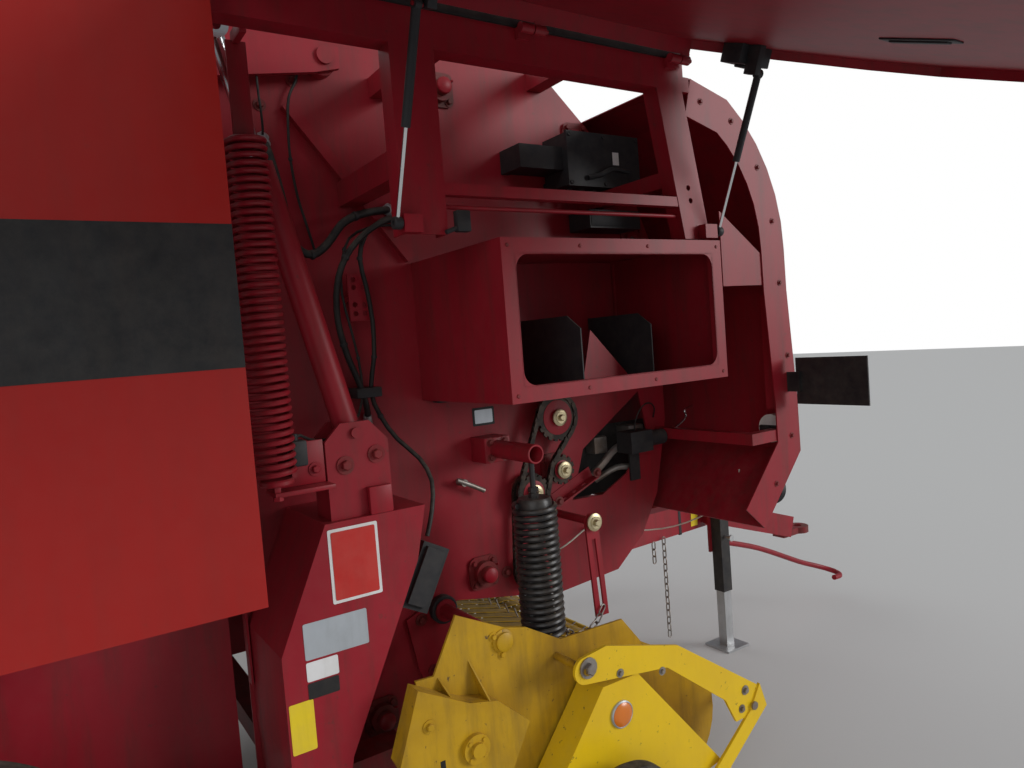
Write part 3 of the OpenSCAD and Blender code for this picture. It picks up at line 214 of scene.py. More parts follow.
def mix_colours(tree, share, first, second):
    mix = add_node(tree, "ShaderNodeMix", {0: share, COLOUR_A: first, COLOUR_B: second},
                   data_type="RGBA")
    return mix.outputs[COLOUR_OUT]


# %% Build the patch group
patch_group, given, result, coords = new_group("faded_patches", {
    "Clean": (0.5, 0.5, 0.5, 1), "Faded": (0.6, 0.6, 0.6, 1), "Scale": 3.0, "Amount": 0.5},
    ["Color", "Mask"])
patches = noise_mask(patch_group, coords, given["Scale"], 6.0, 0.62, 0.38, 0.68, given["Amount"])
feed(patch_group, result, {
    "Color": mix_colours(patch_group, patches, given["Clean"], given["Faded"]), "Mask": patches})
print("group", patch_group.name, [item.name for item in patch_group.interface.items_tree])

# %% Build the dust group
DUST_ROUGHNESS = 0.9

dust_group, given, result, coords = new_group("settled_dust", {
    "Color": (0.5, 0.5, 0.5, 1), "Dust": (0.32, 0.27, 0.21, 1), "Clean Roughness": 0.35,
    "Amount": 0.3}, ["Color", "Roughness"])
surface = add_node(dust_group, "ShaderNodeNewGeometry")
parts = add_node(dust_group, "ShaderNodeSeparateXYZ", {0: surface.outputs["Normal"]})
facing_up = add_node(dust_group, "ShaderNodeMapRange", {
    "Value": parts.outputs["Z"], "From Min": -0.35, "From Max": 1.0})
grit = noise_mask(dust_group, coords, 26.0, 8.0, 0.7, 0.35, 0.75, facing_up.outputs["Result"])
settled = multiply(dust_group, grit, given["Amount"])
rough = add_node(dust_group, "ShaderNodeMix", {
    0: settled, FLOAT_A: given["Clean Roughness"], FLOAT_B: DUST_ROUGHNESS}, data_type="FLOAT")
feed(dust_group, result, {
    "Color": mix_colours(dust_group, settled, given["Color"], given["Dust"]),
    "Roughness": rough.outputs[0]})
print("group", dust_group.name)

# %% Build the chip group
RUN_STRETCH = (9.0, 9.0, 1.1)

chip_group, given, result, coords = new_group("paint_chips", {
    "Color": (0.5, 0.5, 0.5, 1), "Chip": (0.06, 0.035, 0.025, 1),
    "Grime": (0.05, 0.03, 0.022, 1), "Chips": 0.3, "Streaks": 0.2}, ["Color", "Mask"])
flakes = noise_mask(chip_group, coords, 34.0, 9.0, 0.72, 0.63, 0.65, given["Chips"])
stretch = add_node(chip_group, "ShaderNodeMapping", {"Vector": coords, "Scale": RUN_STRETCH})
runs = noise_mask(chip_group, stretch.outputs["Vector"], 2.2, 7.0, 0.66, 0.46, 0.74,
                  given["Streaks"])
grimy = mix_colours(chip_group, runs, given["Color"], given["Grime"])
feed(chip_group, result, {
    "Color": mix_colours(chip_group, flakes, grimy, given["Chip"]), "Mask": flakes})
print("group", chip_group.name)

# %% [markdown]
# ## One recipe for all finishes
# A finish is a clean colour, a faded colour, a roughness, chips and streaks,
# some dust and a fine bump. The recipe places the three groups in a material
# and joins them to the shader. The bump's grain is given as grains per metre,
# so orange peel on paint is fine and the cast skin of a bearing is coarse.

# %% Write the recipe
COAT_ROUGHNESS = 0.25
GLOSS = 0.28
BUMP_HEIGHT = 0.002


def make_finish(name, clean, faded, roughness, metallic=0.0, patch=3.0, fade=0.5, dust=0.3,
                grain=420.0, bump=0.05, coat=0.0, chips=0.0, streaks=0.15):
    finish = bpy.data.materials.new(name)
    finish.use_nodes = True
    tree = finish.node_tree
    worn = add_node(tree, "ShaderNodeGroup", {
        "Clean": (*clean, 1), "Faded": (*faded, 1), "Scale": patch, "Amount": fade},
        node_tree=patch_group)
    chipped = add_node(tree, "ShaderNodeGroup", {
        "Color": worn.outputs["Color"], "Chips": chips, "Streaks": streaks}, node_tree=chip_group)
    dusted = add_node(tree, "ShaderNodeGroup", {
        "Color": chipped.outputs["Color"], "Clean Roughness": roughness, "Amount": dust},
        node_tree=dust_group)
    coords = add_node(tree, "ShaderNodeTexCoord")
    skin = add_node(tree, "ShaderNodeTexNoise", {
        "Vector": coords.outputs["Object"], "Scale": grain, "Detail": 3.0})
    bumps = add_node(tree, "ShaderNodeBump", {
        "Height": skin.outputs["Fac"], "Strength": bump, "Distance": BUMP_HEIGHT})
    feed(tree, tree.nodes["Principled BSDF"], {
        "Base Color": dusted.outputs["Color"], "Roughness": dusted.outputs["Roughness"],
        "Normal": bumps.outputs["Normal"], "Metallic": metallic, "Coat Weight": coat,
        "Coat Roughness": COAT_ROUGHNESS, "Specular IOR Level": GLOSS})


# %% Make the finishes
# Each row is the clean colour, the faded one, the roughness and what differs
FINISHES = {
    # This red is darker and more crimson than the paint in full light: painted shade, the bluish tint
    # of the shaded sheets.
    "red_paint": ((0.27, 0.007, 0.017), (0.32, 0.017, 0.028), 0.42,
        dict(dust=0.1, chips=0.35, streaks=0.45)),
    "panel_paint": ((0.31, 0.01, 0.008), (0.34, 0.016, 0.012), 0.36,
        dict(patch=1.6, dust=0.06, chips=0.1, streaks=0.12)),
    "worn_red": ((0.22, 0.008, 0.014), (0.1, 0.028, 0.022), 0.5,
        dict(patch=9.0, fade=0.7, dust=0.22, chips=0.6, streaks=0.6)),
    "yellow_paint": ((0.78, 0.51, 0.008), (0.68, 0.42, 0.016), 0.34,
        dict(patch=5.0, dust=0.12, coat=0.15, chips=0.7, streaks=0.06)),
    # This yellow is darker and browner than the shield's yellow: partly dirt, partly painted shade on
    # the pickup's lower parts.
    "worn_yellow": ((0.52, 0.3, 0.008), (0.27, 0.14, 0.01), 0.42,
        dict(patch=3.0, fade=0.7, dust=0.18, chips=0.9, streaks=0.45)),
    "stripe_black": ((0.012, 0.012, 0.013), (0.03, 0.03, 0.032), 0.42, dict(patch=4.0, dust=0.2)),
    "black_paint": ((0.014, 0.014, 0.016), (0.045, 0.042, 0.04), 0.45, dict(patch=9.0, dust=0.35)),
    "black_plastic": ((0.018, 0.019, 0.022), (0.035, 0.036, 0.04), 0.5,
        dict(grain=900.0, bump=0.12, dust=0.3)),
    "zinc_steel": ((0.55, 0.56, 0.57), (0.38, 0.38, 0.38), 0.38,
        dict(metallic=0.85, patch=18.0, dust=0.3)),
    "yellow_zinc": ((0.62, 0.53, 0.33), (0.44, 0.36, 0.22), 0.36,
        dict(metallic=0.85, patch=18.0, dust=0.3)),
    "worn_steel": ((0.34, 0.32, 0.3), (0.18, 0.11, 0.07), 0.45,
        dict(metallic=0.75, patch=14.0, fade=0.7, dust=0.4)),
    "chain_steel": ((0.022, 0.018, 0.016), (0.09, 0.065, 0.05), 0.38,
        dict(metallic=0.6, patch=26.0, fade=0.75, dust=0.04)),
    "bright_rod": ((0.72, 0.72, 0.73), (0.6, 0.6, 0.6), 0.14, dict(metallic=1.0, dust=0.08)),
    "belt_rubber": ((0.035, 0.033, 0.032), (0.1, 0.085, 0.07), 0.75,
        dict(patch=6.0, grain=700.0, bump=0.2, dust=0.5)),
    "tyre_rubber": ((0.018, 0.018, 0.018), (0.06, 0.055, 0.05), 0.8,
        dict(patch=5.0, grain=500.0, bump=0.18, dust=0.5)),
    "cream_paint": ((0.62, 0.6, 0.52), (0.5, 0.47, 0.4), 0.4, dict(patch=8.0, dust=0.35)),
    "lamp_white": ((0.78, 0.78, 0.75), (0.66, 0.65, 0.6), 0.25, dict(dust=0.25, coat=0.5)),
    "lamp_red": ((0.35, 0.01, 0.01), (0.4, 0.03, 0.02), 0.2, dict(coat=0.6)),
    "amber_lens": ((0.72, 0.17, 0.01), (0.62, 0.2, 0.03), 0.22, dict(coat=0.7, dust=0.1)),
    "coil_black": ((0.012, 0.012, 0.014), (0.03, 0.028, 0.027), 0.38,
        dict(patch=22.0, dust=0.35, coat=0.2)),
    "hose_rubber": ((0.01, 0.01, 0.011), (0.03, 0.029, 0.028), 0.5,
        dict(patch=16.0, grain=1200.0, bump=0.1, dust=0.4)),
    "cord_pale": ((0.62, 0.6, 0.52), (0.5, 0.48, 0.4), 0.6, dict(patch=30.0, grain=1500.0, bump=0.3)),
    "sticker_white": ((0.74, 0.74, 0.74), (0.62, 0.6, 0.56), 0.4, dict(patch=14.0, dust=0.2)),
    "sticker_red": ((0.5, 0.025, 0.02), (0.5, 0.06, 0.05), 0.35, dict(patch=14.0, dust=0.15)),
    "sticker_yellow": ((0.78, 0.58, 0.02), (0.66, 0.48, 0.06), 0.4, dict(patch=14.0, dust=0.2)),
    "plate_silver": ((0.52, 0.56, 0.6), (0.42, 0.45, 0.47), 0.34,
        dict(metallic=0.5, patch=12.0, dust=0.2)),
}
for name, (clean, faded, roughness, other) in FINISHES.items():
    make_finish(name, clean, faded, roughness, **other)
print("finishes", len(bpy.data.materials))

# %% [markdown]
# ## Paint the frame's own pieces
# Most sheets and beams keep their own shape and only need a finish. A table
# gives each finish its nodes, and the material goes into the node's slots.

# %% Give each node its finish
FINISH_OF = {
    "red_paint": "right_side_sheet left_side_sheet leg_covers door_frame front_hood drawbar "
               "twine_box cylinder_brackets cylinder_barrels tailgate_sheets tailgate_frame "
               "right_door left_door hose_support hood_corners tension_springs",
    "panel_paint": "rear_shields",
    "worn_red": "axle_frame drawbar_eye roller_bearings gearbox",
    "yellow_paint": "pickup_shields windguard",
    "worn_yellow": "pickup_frame pickup_bands",
    "stripe_black": "shield_stripes",
    "black_paint": "jack_sleeve pickup_springs marker_plates spring_straps",
    "black_plastic": "control_boxes right_strut_barrels left_strut_barrels pto_shaft "
                   "twine_dividers",
    "zinc_steel": "jack_leg",
    "chain_steel": "chain_drive",
    "worn_steel": "front_rollers tailgate_rollers pickup_reel",
    "bright_rod": "cylinder_rods right_strut_rods left_strut_rods",
    "belt_rubber": "front_belts tailgate_belts",
    "tyre_rubber": "right_tyre left_tyre right_gauge_wheel left_gauge_wheel",
    "cream_paint": "right_rim left_rim",
    "lamp_white": "front_lamps",
    "lamp_red": "rear_lamps",
}
for finish, names in FINISH_OF.items():
    for name in names.split():
        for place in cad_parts[name].material_slots:
            place.material = bpy.data.materials[finish]
unpainted = set(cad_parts) - set(" ".join(FINISH_OF.values()).split())
print("nodes without a finish", sorted(unpainted))

# %% [markdown]
# ## Helpers for small shapes
# A baler shows bolts, rings and tubes by the hundred. Each could be an object
# of its own, but one mesh for all bolts of a group is lighter and easier to
# hang on a body. So the helpers add their shape to a mesh that is being
# built. Each takes the place where the shape starts and the way it points.

# %% Helpers that add a round, a block and a turned shape
SAME_PLACE = 0.02
OUTWARD = Vector((0, -1, 0))
INWARD = Vector((0, 1, 0))
UPWARD = Vector((0, 0, 1))
FORWARD = Vector((1, 0, 0))
MIRROR = Matrix.Diagonal((1, -1, 1, 1))


def facing(place, out):
    turn = Vector(out).normalized().to_track_quat("Z", "Y")
    return Matrix.Translation(place) @ turn.to_matrix().to_4x4()


def move(shape, stand, verts=None):
    bmesh.ops.transform(shape, matrix=stand, verts=verts or shape.verts)


def added(shape, before):
    return [vert for vert in shape.verts if vert not in before]


def only(kind, parts):
    return [part for part in parts if isinstance(part, kind)]


def edges_of(verts):
    return list({edge for vert in verts for edge in vert.link_edges})


def add_ring(shape, stand, radius, sides):
    ring = bmesh.ops.create_circle(shape, cap_ends=False, segments=sides, radius=radius,
                                   matrix=stand)["verts"]
    return ring, edges_of(ring)


def add_round(shape, place, out, radius, height, sides=20, end=None):
    out = Vector(out).normalized()
    middle = Vector(place) + out * height / 2
    bmesh.ops.create_cone(
        shape, cap_ends=True, segments=sides, radius1=radius,
        radius2=radius if end is None else end, depth=height, matrix=facing(middle, out))


def soften(shape, rims, offset, segments):
    bmesh.ops.bevel(shape, geom=rims, offset=offset, offset_type="OFFSET",
                    segments=segments, profile=0.5, affect="EDGES", material=-1)


def add_block(shape, low, high, soft=0):
    low, high = Vector(low), Vector(high)
    sized = Matrix.Translation((low + high) / 2) @ Matrix.Diagonal((high - low).to_4d())
    made = bmesh.ops.create_cube(shape, size=1.0, matrix=sized)["verts"]
    if soft:
        soften(shape, edges_of(made), soft, 2)


def add_turned(shape, place, out, outline, steps=24, closed=False):
    stand = facing(place, out)
    before = set(shape.verts)
    corners = [shape.verts.new(stand @ Vector((radius, 0, height))) for radius, height in outline]
    pairs = list(zip(corners, corners[1:]))
    if closed:
        pairs.append((corners[-1], corners[0]))
    sides = [shape.edges.new(pair) for pair in pairs]
    bmesh.ops.spin(shape, geom=corners + sides, cent=place, axis=Vector(out).normalized(),
                   angle=math.tau, steps=steps, use_merge=True)
    bmesh.ops.remove_doubles(shape, verts=added(shape, before), dist=SAME_PLACE)


# %% Helper that finishes a piece
SHARP_FROM = math.radians(35)


def finish_piece(name, shape, finish, body="chassis", both=False):
    if both:
        everything = shape.verts[:] + shape.edges[:] + shape.faces[:]
        bmesh.ops.mirror(shape, geom=everything, axis="Y", merge_dist=-1.0)
    move(shape, INTO_FRAME)
    bmesh.ops.recalc_face_normals(shape, faces=shape.faces)
    for face in shape.faces:
        face.smooth = True
    data = bpy.data.meshes.new(name)
    shape.to_mesh(data)
    shape.free()
    data.set_sharp_from_angle(angle=SHARP_FROM)
    data.materials.append(bpy.data.materials[finish])
    piece = put(name, data)
    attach(piece, body)
    print(name, len(data.polygons), "faces")
    return piece


def turned_piece(name, finish, body, places, out, outline, steps=28, closed=False):
    shape = bmesh.new()
    for place in places:
        add_turned(shape, place, out, outline, steps, closed)
    finish_piece(name, shape, finish, body, both=True)


# %% [markdown]
# ## Coil springs
# The frame holds each spring as a stack of rings, which is enough to measure.
# A real one is a single bar wound into a helix. A curve with a screw would do
# it, but the spin operator is more direct: it turns a small circle round the
# spring's axis and lifts it a little at each step. The last coils are drawn
# in afterwards, towards the hook or the plug that holds them.

# %% Wind a spring
CLOSING_COILS = 1.6


def add_coil(shape, foot, height, radius, bar, turns, steps=20, ends=(1, 1)):
    foot = Vector(foot)
    before = set(shape.verts)
    count = round(turns * steps)
    start = Matrix.Translation(foot + FORWARD * radius) @ Matrix.Rotation(math.pi / 2, 4, "X")
    ring, rim = add_ring(shape, start, bar, 8)
    wound = bmesh.ops.spin(shape, geom=ring + rim, cent=foot, axis=UPWARD,
                           dvec=UPWARD * height / count, angle=turns * math.tau, steps=count)
    last = only(bmesh.types.BMEdge, wound["geom_last"])
    bmesh.ops.edgeloop_fill(shape, edges=rim)
    bmesh.ops.edgeloop_fill(shape, edges=last)
    reach = height / turns * CLOSING_COILS
    for vert in added(shape, before):
        low = min(max((vert.co.z - foot.z) / reach, 0), 1)
        high = min(max((foot.z + height - vert.co.z) / reach, 0), 1)
        share = (ends[0] + (1 - ends[0]) * low) * (ends[1] + (1 - ends[1]) * high)
        vert.co.x = foot.x + (vert.co.x - foot.x) * share
        vert.co.y = foot.y + (vert.co.y - foot.y) * share


# %% Hang the pickup's springs
coil = bmesh.new()
add_coil(coil, (1590, -900, 660), 440, 62.5, 8.8, 21.5, ends=(0.35, 1))
add_turned(coil, (1590, -900, 1078), UPWARD,
           [(0, 0), (50, 0), (55, 6), (55, 30), (49, 40), (0, 40)])
add_round(coil, (1590, -900, 1105), UPWARD, 9, 125, 12)
for height in (1118, 1136):
    add_round(coil, (1590, -900, height), UPWARD, 16.5, 14, 6)
add_turned(coil, (1590, -906, 648), INWARD,
           [(13 + 6 * math.cos(math.tau * k / 8), 6 + 6 * math.sin(math.tau * k / 8))
            for k in range(8)], closed=True)
pickup_coils = finish_piece("pickup_coils", coil, "coil_black", both=True)

arm = bmesh.new()
add_turned(arm, (1590, -620, 1255), OUTWARD,
           [(30, 0), (30, 308), (28.5, 310), (24.5, 310), (24, 308), (24, 100), (0, 100)], 28)
add_block(arm, (1540, -712, 1211), (1640, -620, 1295), 4)
spring_arms = finish_piece("spring_arms", arm, "red_paint", both=True)
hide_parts("pickup_springs")
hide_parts("pickup_springs")

# %% Hang the tailgate's springs
coil = bmesh.new()
add_coil(coil, (792, -975, 1318), 806, 45.2, 6.8, 43, 18)
for height in (1300, 2112):
    add_turned(coil, (792, -975, height), UPWARD,
               [(0, 0), (37, 0), (41, 4), (41, 12), (37, 16), (0, 16)])
for low, high in (((768, -979, 2125), (816, -971, 2353)), ((784, -980, 1280), (800, -970, 1304)),
                  ((784, -985, 1270), (935, -900, 1282)),
                  ((784, -1050, 2345), (800, -965, 2375))):
    add_block(coil, low, high, 2)
add_round(coil, (792, -975, 1262), UPWARD, 13, 10, 6)
gate_coils = finish_piece("gate_coils", coil, "red_paint", both=True)
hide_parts("tension_springs")

# %% [markdown]
# ## Bolts and washers
# Bolts show the scale of a machine better than anything else. A bolt head is
# a six-sided cone with its rim cut back, on a washer, so three short rounds
# make it. Their places stand in tables, on the right side, and a mirror
# brings them to the left.

# %% Make a bolt and bolt on the bearings
def add_bolt(shape, place, out, width):
    # Shares of the width over the flats: washer, head and the rim that is cut back
    place, out = Vector(place), Vector(out).normalized()
    add_round(shape, place, out, width * 1.02, width * 0.16, 14)
    add_round(shape, place + out * width * 0.16, out, width * 0.577, width * 0.46, 6)
    add_round(shape, place + out * width * 0.62, out, width * 0.577, width * 0.1, 6, width * 0.46)


# Forward and up of the bearings, capped ones and open ones
CAPPED = [(1520, 2440), (2350, 1440), (1549, 831), (1141, 470)]
OPEN = [(2080, 2330), (2330, 1960), (1870, 1325), (1875, 1137), (1745, 1075)]
bolts = bmesh.new()
caps = bmesh.new()
for forward, up in CAPPED + OPEN:
    for across in (-37, 37):
        for high in (-37, 37):
            add_bolt(bolts, (forward + across, -628, up + high), OUTWARD, 16)
for forward, up in CAPPED:
    add_turned(caps, (forward, -672, up), OUTWARD, [(0, 0), (27, 0), (25, 6), (18, 10), (0, 12)])
    add_round(caps, (forward + 34, -640, up + 20), (0.7, -1, 0.4), 4, 18, 8)
for forward, up in OPEN:
    add_turned(caps, (forward, -628, up), OUTWARD,
               [(19, 0), (34, 0), (32, 7), (24, 9), (19, 6)], closed=True)
finish_piece("bearing_bolts", bolts, "worn_red", both=True)
finish_piece("bearing_caps", caps, "red_paint", both=True)

# %% Bolts on the frame
# How far left and how wide, then forward and up of each bolt
FRAME_BOLTS = {
    (-927, 24): [(985, 1315), (1073, 1333)],
    (-620, 20): [(1644, 809)],
    (-632, 20): [(1300, 735), (1452, 700), (1330, 560)],
    (-710, 16): [(1563, 1228), (1617, 1228), (1563, 1280), (1617, 1280)],
    (-660, 18): [(1863, 1022), (2045, 1097)],
    (-620, 18): [(940, 2330), (1040, 2410), (2210, 1420), (2290, 1560), (2300, 1760), (830, 1900),
                 (830, 1600)],
    (-950, 18): [(900, 500), (820, 500)],
}
# The hood's flange: forward and up
HOOD_BOLTS = [(2225, 2335), (2370, 2286), (2492, 2140), (2556, 1957), (2578, 1740), (2602, 1480),
              (2600, 1190), (2500, 1030)]
bolts = bmesh.new()
for (left, width), places in FRAME_BOLTS.items():
    for forward, up in places:
        add_bolt(bolts, (forward, left, up), OUTWARD, width)
for forward, up in HOOD_BOLTS:
    add_bolt(bolts, (forward, -1100, up), OUTWARD, 11)
# Rivets on the rim of the twine box
for forward in (1395, 1640, 1900, 2200):
    for up in (1457, 1857):
        add_round(bolts, (forward, -1150, up), OUTWARD, 6, 3, 12, 4)
finish_piece("frame_bolts", bolts, "worn_red", both=True)

# %% Pale washers and nuts on the shafts
ends = bmesh.new()
for forward, left, up in ((1870, -687, 1325), (1875, -687, 1137), (1745, -687, 1075),
                          (1715, -687, 800), (1843, -872, 985)):
    add_turned(ends, (forward, left, up), OUTWARD, [(0, 0), (30, 0), (30, 6), (24, 9), (0, 9)])
    add_bolt(ends, (forward, left - 9, up), OUTWARD, 20)
finish_piece("shaft_ends", ends, "yellow_zinc")

# %% [markdown]
# ## Blank plates and stickers
# The machine carries plates and stickers on its leg covers. Here they stay
# blank, but keep their places, their colours and their borders. A sticker is
# a block a millimetre thick with soft corners, and a border is a second,
# larger one just behind it.

# %% Put the blank plates in their places
PLATE_THICK = 1.2
PLATE_CORNER = 4


def add_plate(shape, low, high, face):
    before = set(shape.verts)
    add_block(shape, (low[0], face - PLATE_THICK, low[1]), (high[0], face, high[1]))
    upright = [edge for edge in edges_of(added(shape, before))
               if abs(edge.verts[0].co.y - edge.verts[1].co.y) > PLATE_THICK / 2]
    soften(shape, upright, PLATE_CORNER, 3)


# Low corner, high corner, and how far left its face is
PLATES = {
    "white_stickers": ("sticker_white", [((912, 968), (1048, 1160), -950),
                                         ((828, 790), (911, 839), -950)]),
    "red_stickers": ("sticker_red", [((920, 976), (1040, 1152), -951.2)]),
    "silver_plates": ("plate_silver", [((828, 845), (998, 938), -950)]),
    "dark_plates": ("stripe_black", [((828, 745), (909, 786), -950),
                                     ((1556, 1328), (1642, 1390), -620)]),
    "pale_plates": ("plate_silver", [((1564, 1336), (1634, 1382), -621.2)]),
    "yellow_stickers": ("sticker_yellow", [((776, 618), (838, 746), -950)]),
}
for name, (finish, places) in PLATES.items():
    plate = bmesh.new()
    for low, high, face in places:
        add_plate(plate, low, high, face)
    finish_piece(name, plate, finish, both=True)

# %% [markdown]
# ## Chains of welded links
# A short safety chain hangs from the drawbar's arm, and another one ties the
# pickup's spring to the slotted link. A link is a small ring, pulled apart at
# its middle. Each link is turned a quarter round against the one before it.

# %% Make a link and lay two chains
LINK_LENGTH = 42
LINK_WIDTH = 24
LINK_WIRE = 5.5
LINK_STEP = 31


def add_link(shape, place, way, quarter):
    before = set(shape.verts)
    reach = (LINK_WIDTH - LINK_WIRE) / 2
    start = Matrix.Rotation(math.radians(-15), 4, "Y") @ Matrix.Translation((reach, 0, 0))
    ring, rim = add_ring(shape, start, LINK_WIRE / 2, 6)
    bmesh.ops.spin(shape, geom=ring + rim, cent=(0, 0, 0), axis=INWARD, angle=math.tau, steps=12,
                   use_merge=True)
    made = added(shape, before)
    for vert in made:
        vert.co.z += math.copysign((LINK_LENGTH - LINK_WIDTH) / 2, vert.co.z)
    move(shape, facing(place, way) @ Matrix.Rotation(math.pi / 2 * quarter, 4, "Z"), made)


def along_way(points):
    places, left_over = [], 0
    for start, end in zip(points, points[1:]):
        run = (end - start).length
        way = (end - start).normalized()
        reach = left_over
        while reach < run:
            places.append((start + way * reach, way))
            reach += LINK_STEP
        left_over = reach - run
    return places


def smooth_way(points, per_gap):
    points = [Vector(point) for point in points]
    closed = [points[0] * 2 - points[1]] + points + [points[-1] * 2 - points[-2]]
    way = []
    for a, b, c, d in zip(closed, closed[1:], closed[2:], closed[3:]):
        for k in range(per_gap):
            t = k / per_gap
            way.append(0.5 * (2 * b + (c - a) * t + (2 * a - 5 * b + 4 * c - d) * t * t
                              + (3 * b - a - 3 * c + d) * t * t * t))
    return way + [points[-1]]


# Steps in each gap, and the places along the hanging, the tied and the short chain
CHAINS = [(1, [(2690, -318, 640), (2690, -318, 205)]),
          (8, [(1652, -905, 700), (1690, -895, 660), (1755, -880, 632), (1820, -872, 648),
               (1858, -866, 685)]),
          (1, [(2600, -345, 640), (2600, -345, 560)])]
chain = bmesh.new()
links = [link for per_gap, points in CHAINS for link in along_way(smooth_way(points, per_gap))]
for number, (place, way) in enumerate(links):
    add_link(chain, place, way, number % 2)
finish_piece("welded_chains", chain, "worn_steel")

# %% [markdown]
# ## What fills the open sheet
# Behind the open hole in the side sheet sits the valve that works the net or
# twine, with bent pipes and a bright lever. A pipe is a circle that is
# extruded along a way: each new ring is turned by the bend and moved on.

# %% Bend pipes and set the valve
def add_pipe(shape, points, per_gap, radius, sides=10):
    way = smooth_way(points, per_gap)
    before = way[1] - way[0]
    first = rim = add_ring(shape, facing(way[0], before), radius, sides)[1]
    for number in range(1, len(way)):
        grown = bmesh.ops.extrude_edge_only(shape, edges=rim)["geom"]
        ring, rim = only(bmesh.types.BMVert, grown), only(bmesh.types.BMEdge, grown)
        bmesh.ops.translate(shape, verts=ring, vec=way[number] - way[number - 1])
        after = way[min(number + 1, len(way) - 1)] - way[number - 1]
        bend = before.rotation_difference(after).to_matrix()
        bmesh.ops.rotate(shape, verts=ring, cent=way[number], matrix=bend)
        before = after
    bmesh.ops.edgeloop_fill(shape, edges=first)
    bmesh.ops.edgeloop_fill(shape, edges=rim)


valve = bmesh.new()
add_pipe(valve, [(2085, -560, 1060), (2120, -600, 1110), (2176, -610, 1158), (2250, -600, 1180),
                 (2320, -560, 1190)], 4, 14)
add_pipe(valve, [(2130, -540, 1040), (2200, -590, 1085), (2290, -600, 1080), (2345, -590, 1120),
                 (2350, -540, 1190)], 4, 12)
add_block(valve, (2270, -600, 1140), (2350, -520, 1240), 6)
add_block(valve, (2100, -590, 1150), (2165, -530, 1215), 6)
for forward in (2285, 2330):
    add_round(valve, (forward, -600, 1205), OUTWARD, 15, 22, 6)
    add_round(valve, (forward, -622, 1205), OUTWARD, 9, 16, 12)
finish_piece("valve_and_pipes", valve, "worn_steel")

board = bmesh.new()
add_block(board, (1990, -527, 985), (2440, -522, 1250), 2)
for forward in (2010, 2420):
    add_block(board, (forward - 15, -612, 1195), (forward + 15, -527, 1200), 1)
finish_piece("valve_board", board, "black_paint")

lever = bmesh.new()
add_pipe(lever, [(2405, -630, 1205), (2420, -690, 1215), (2462, -720, 1255), (2455, -725, 1286),
                 (2500, -725, 1298)], 5, 5, 8)
finish_piece("bright_lever", lever, "bright_rod")

# %% [markdown]
# ## The twine box and the control boxes
# The twine box is folded sheet, so its corners show a seam and its floor a
# triangular gusset beside the divider. The control boxes are moulded: a lid
# with screws, cable glands below it, and a black handle on a pivot.

# %% Fit out the boxes
folds = bmesh.new()
gusset = [(1812, -902, 1441), (2034, -902, 1441), (1861, -902, 1622)]
corners = [folds.verts.new(corner) for corner in gusset]
face = folds.faces.new(corners)
grown = bmesh.ops.extrude_face_region(folds, geom=[face])["geom"]
bmesh.ops.translate(folds, verts=only(bmesh.types.BMVert, grown), vec=(0, 4, 0))
# Folded lips round the box's mouth and the seam strips in its rear corners
for up in (1477, 1834):
    add_block(folds, (1419, -1150, up), (2176, -1132, up + 4))
for forward in (1415, 2176):
    add_block(folds, (forward, -1150, 1481), (forward + 4, -1132, 1834))
for forward in (1379, 2210):
    add_block(folds, (forward, -640, 1441), (forward + 6, -624, 1874), 1.5)
finish_piece("twine_box_folds", folds, "red_paint", both=True)

moulded = bmesh.new()
for forward in (1933, 2086, 2239):
    for up in (2133, 2296):
        add_turned(moulded, (forward, -774, up), OUTWARD,
                   [(0, 1), (4, 1), (5, 0), (8, 0), (8, 3), (6, 4), (0, 2)], 12)
for forward in (1975, 2030, 2085, 2140, 2195):
    add_turned(moulded, (forward, -700, 2126), (0, 0, -1),
               [(0, 0), (13, 0), (13, 12), (10, 12), (10, 24), (5, 30), (0, 30)], 12)
add_pipe(moulded, [(2002, -780, 2150), (2050, -792, 2160), (2103, -796, 2180), (2180, -792, 2176)],
         4, 9, 8)
add_block(moulded, (1408, -672, 1425), (1520, -620, 1462), 6)
add_block(moulded, (1455, -690, 1462), (1480, -630, 1482), 4)
add_block(moulded, (826, -972, 1336), (876, -928, 1400), 5)
add_round(moulded, (851, -950, 1400), UPWARD, 10, 16, 12)
add_block(moulded, (2035, -742, 1992), (2265, -740, 2044), 0.8)
add_block(moulded, (1262, -1134, 1893), (1302, -1110, 1948), 4)
add_round(moulded, (1264, -1122, 1903), (-1, 0, -0.35), 6, 34, 10)
finish_piece("moulded_parts", moulded, "black_plastic")

foot = bmesh.new()
add_block(foot, (812, -928, 1282), (930, -922, 1392), 2)
add_bolt(foot, (905, -928, 1318), OUTWARD, 18)
add_block(foot, (1036, -950, 1176), (1100, -930, 1250), 3)
finish_piece("sensor_foot", foot, "red_paint")

pins = bmesh.new()
add_pipe(pins, [(1459, -655, 1165), (1510, -658, 1140), (1559, -655, 1114)], 1, 8, 12)
add_round(pins, (1485, -620, 1152), OUTWARD, 12, 40, 14)
add_pipe(pins, [(2260, -640, 1700), (2330, -640, 1699), (2400, -640, 1698)], 1, 9, 12)
finish_piece("bright_pins", pins, "worn_steel")

# %% [markdown]
# ## Lamps and reflectors
# Front lamps face the tractor, so this side shows their backs, with a dark
# socket across. The pickup's cover carries a round orange reflector. Both
# are turned shapes, with rings and a dome, so that their gloss has an edge.

# %% Turn the lamps and reflectors
turned_piece("amber_reflectors", "amber_lens", "pickup", [(1696, -1124, 474)], OUTWARD,
             [(0, 0), (36, 0), (36, 4), (30, 7.5), (18, 9.5), (0, 10)], 32)
turned_piece("reflector_rims", "plate_silver", "pickup", [(1696, -1120, 474)], OUTWARD,
             [(0, 0), (41, 0), (41, 6), (37.5, 8.5), (36, 7), (36, 4), (0, 4)], 32)

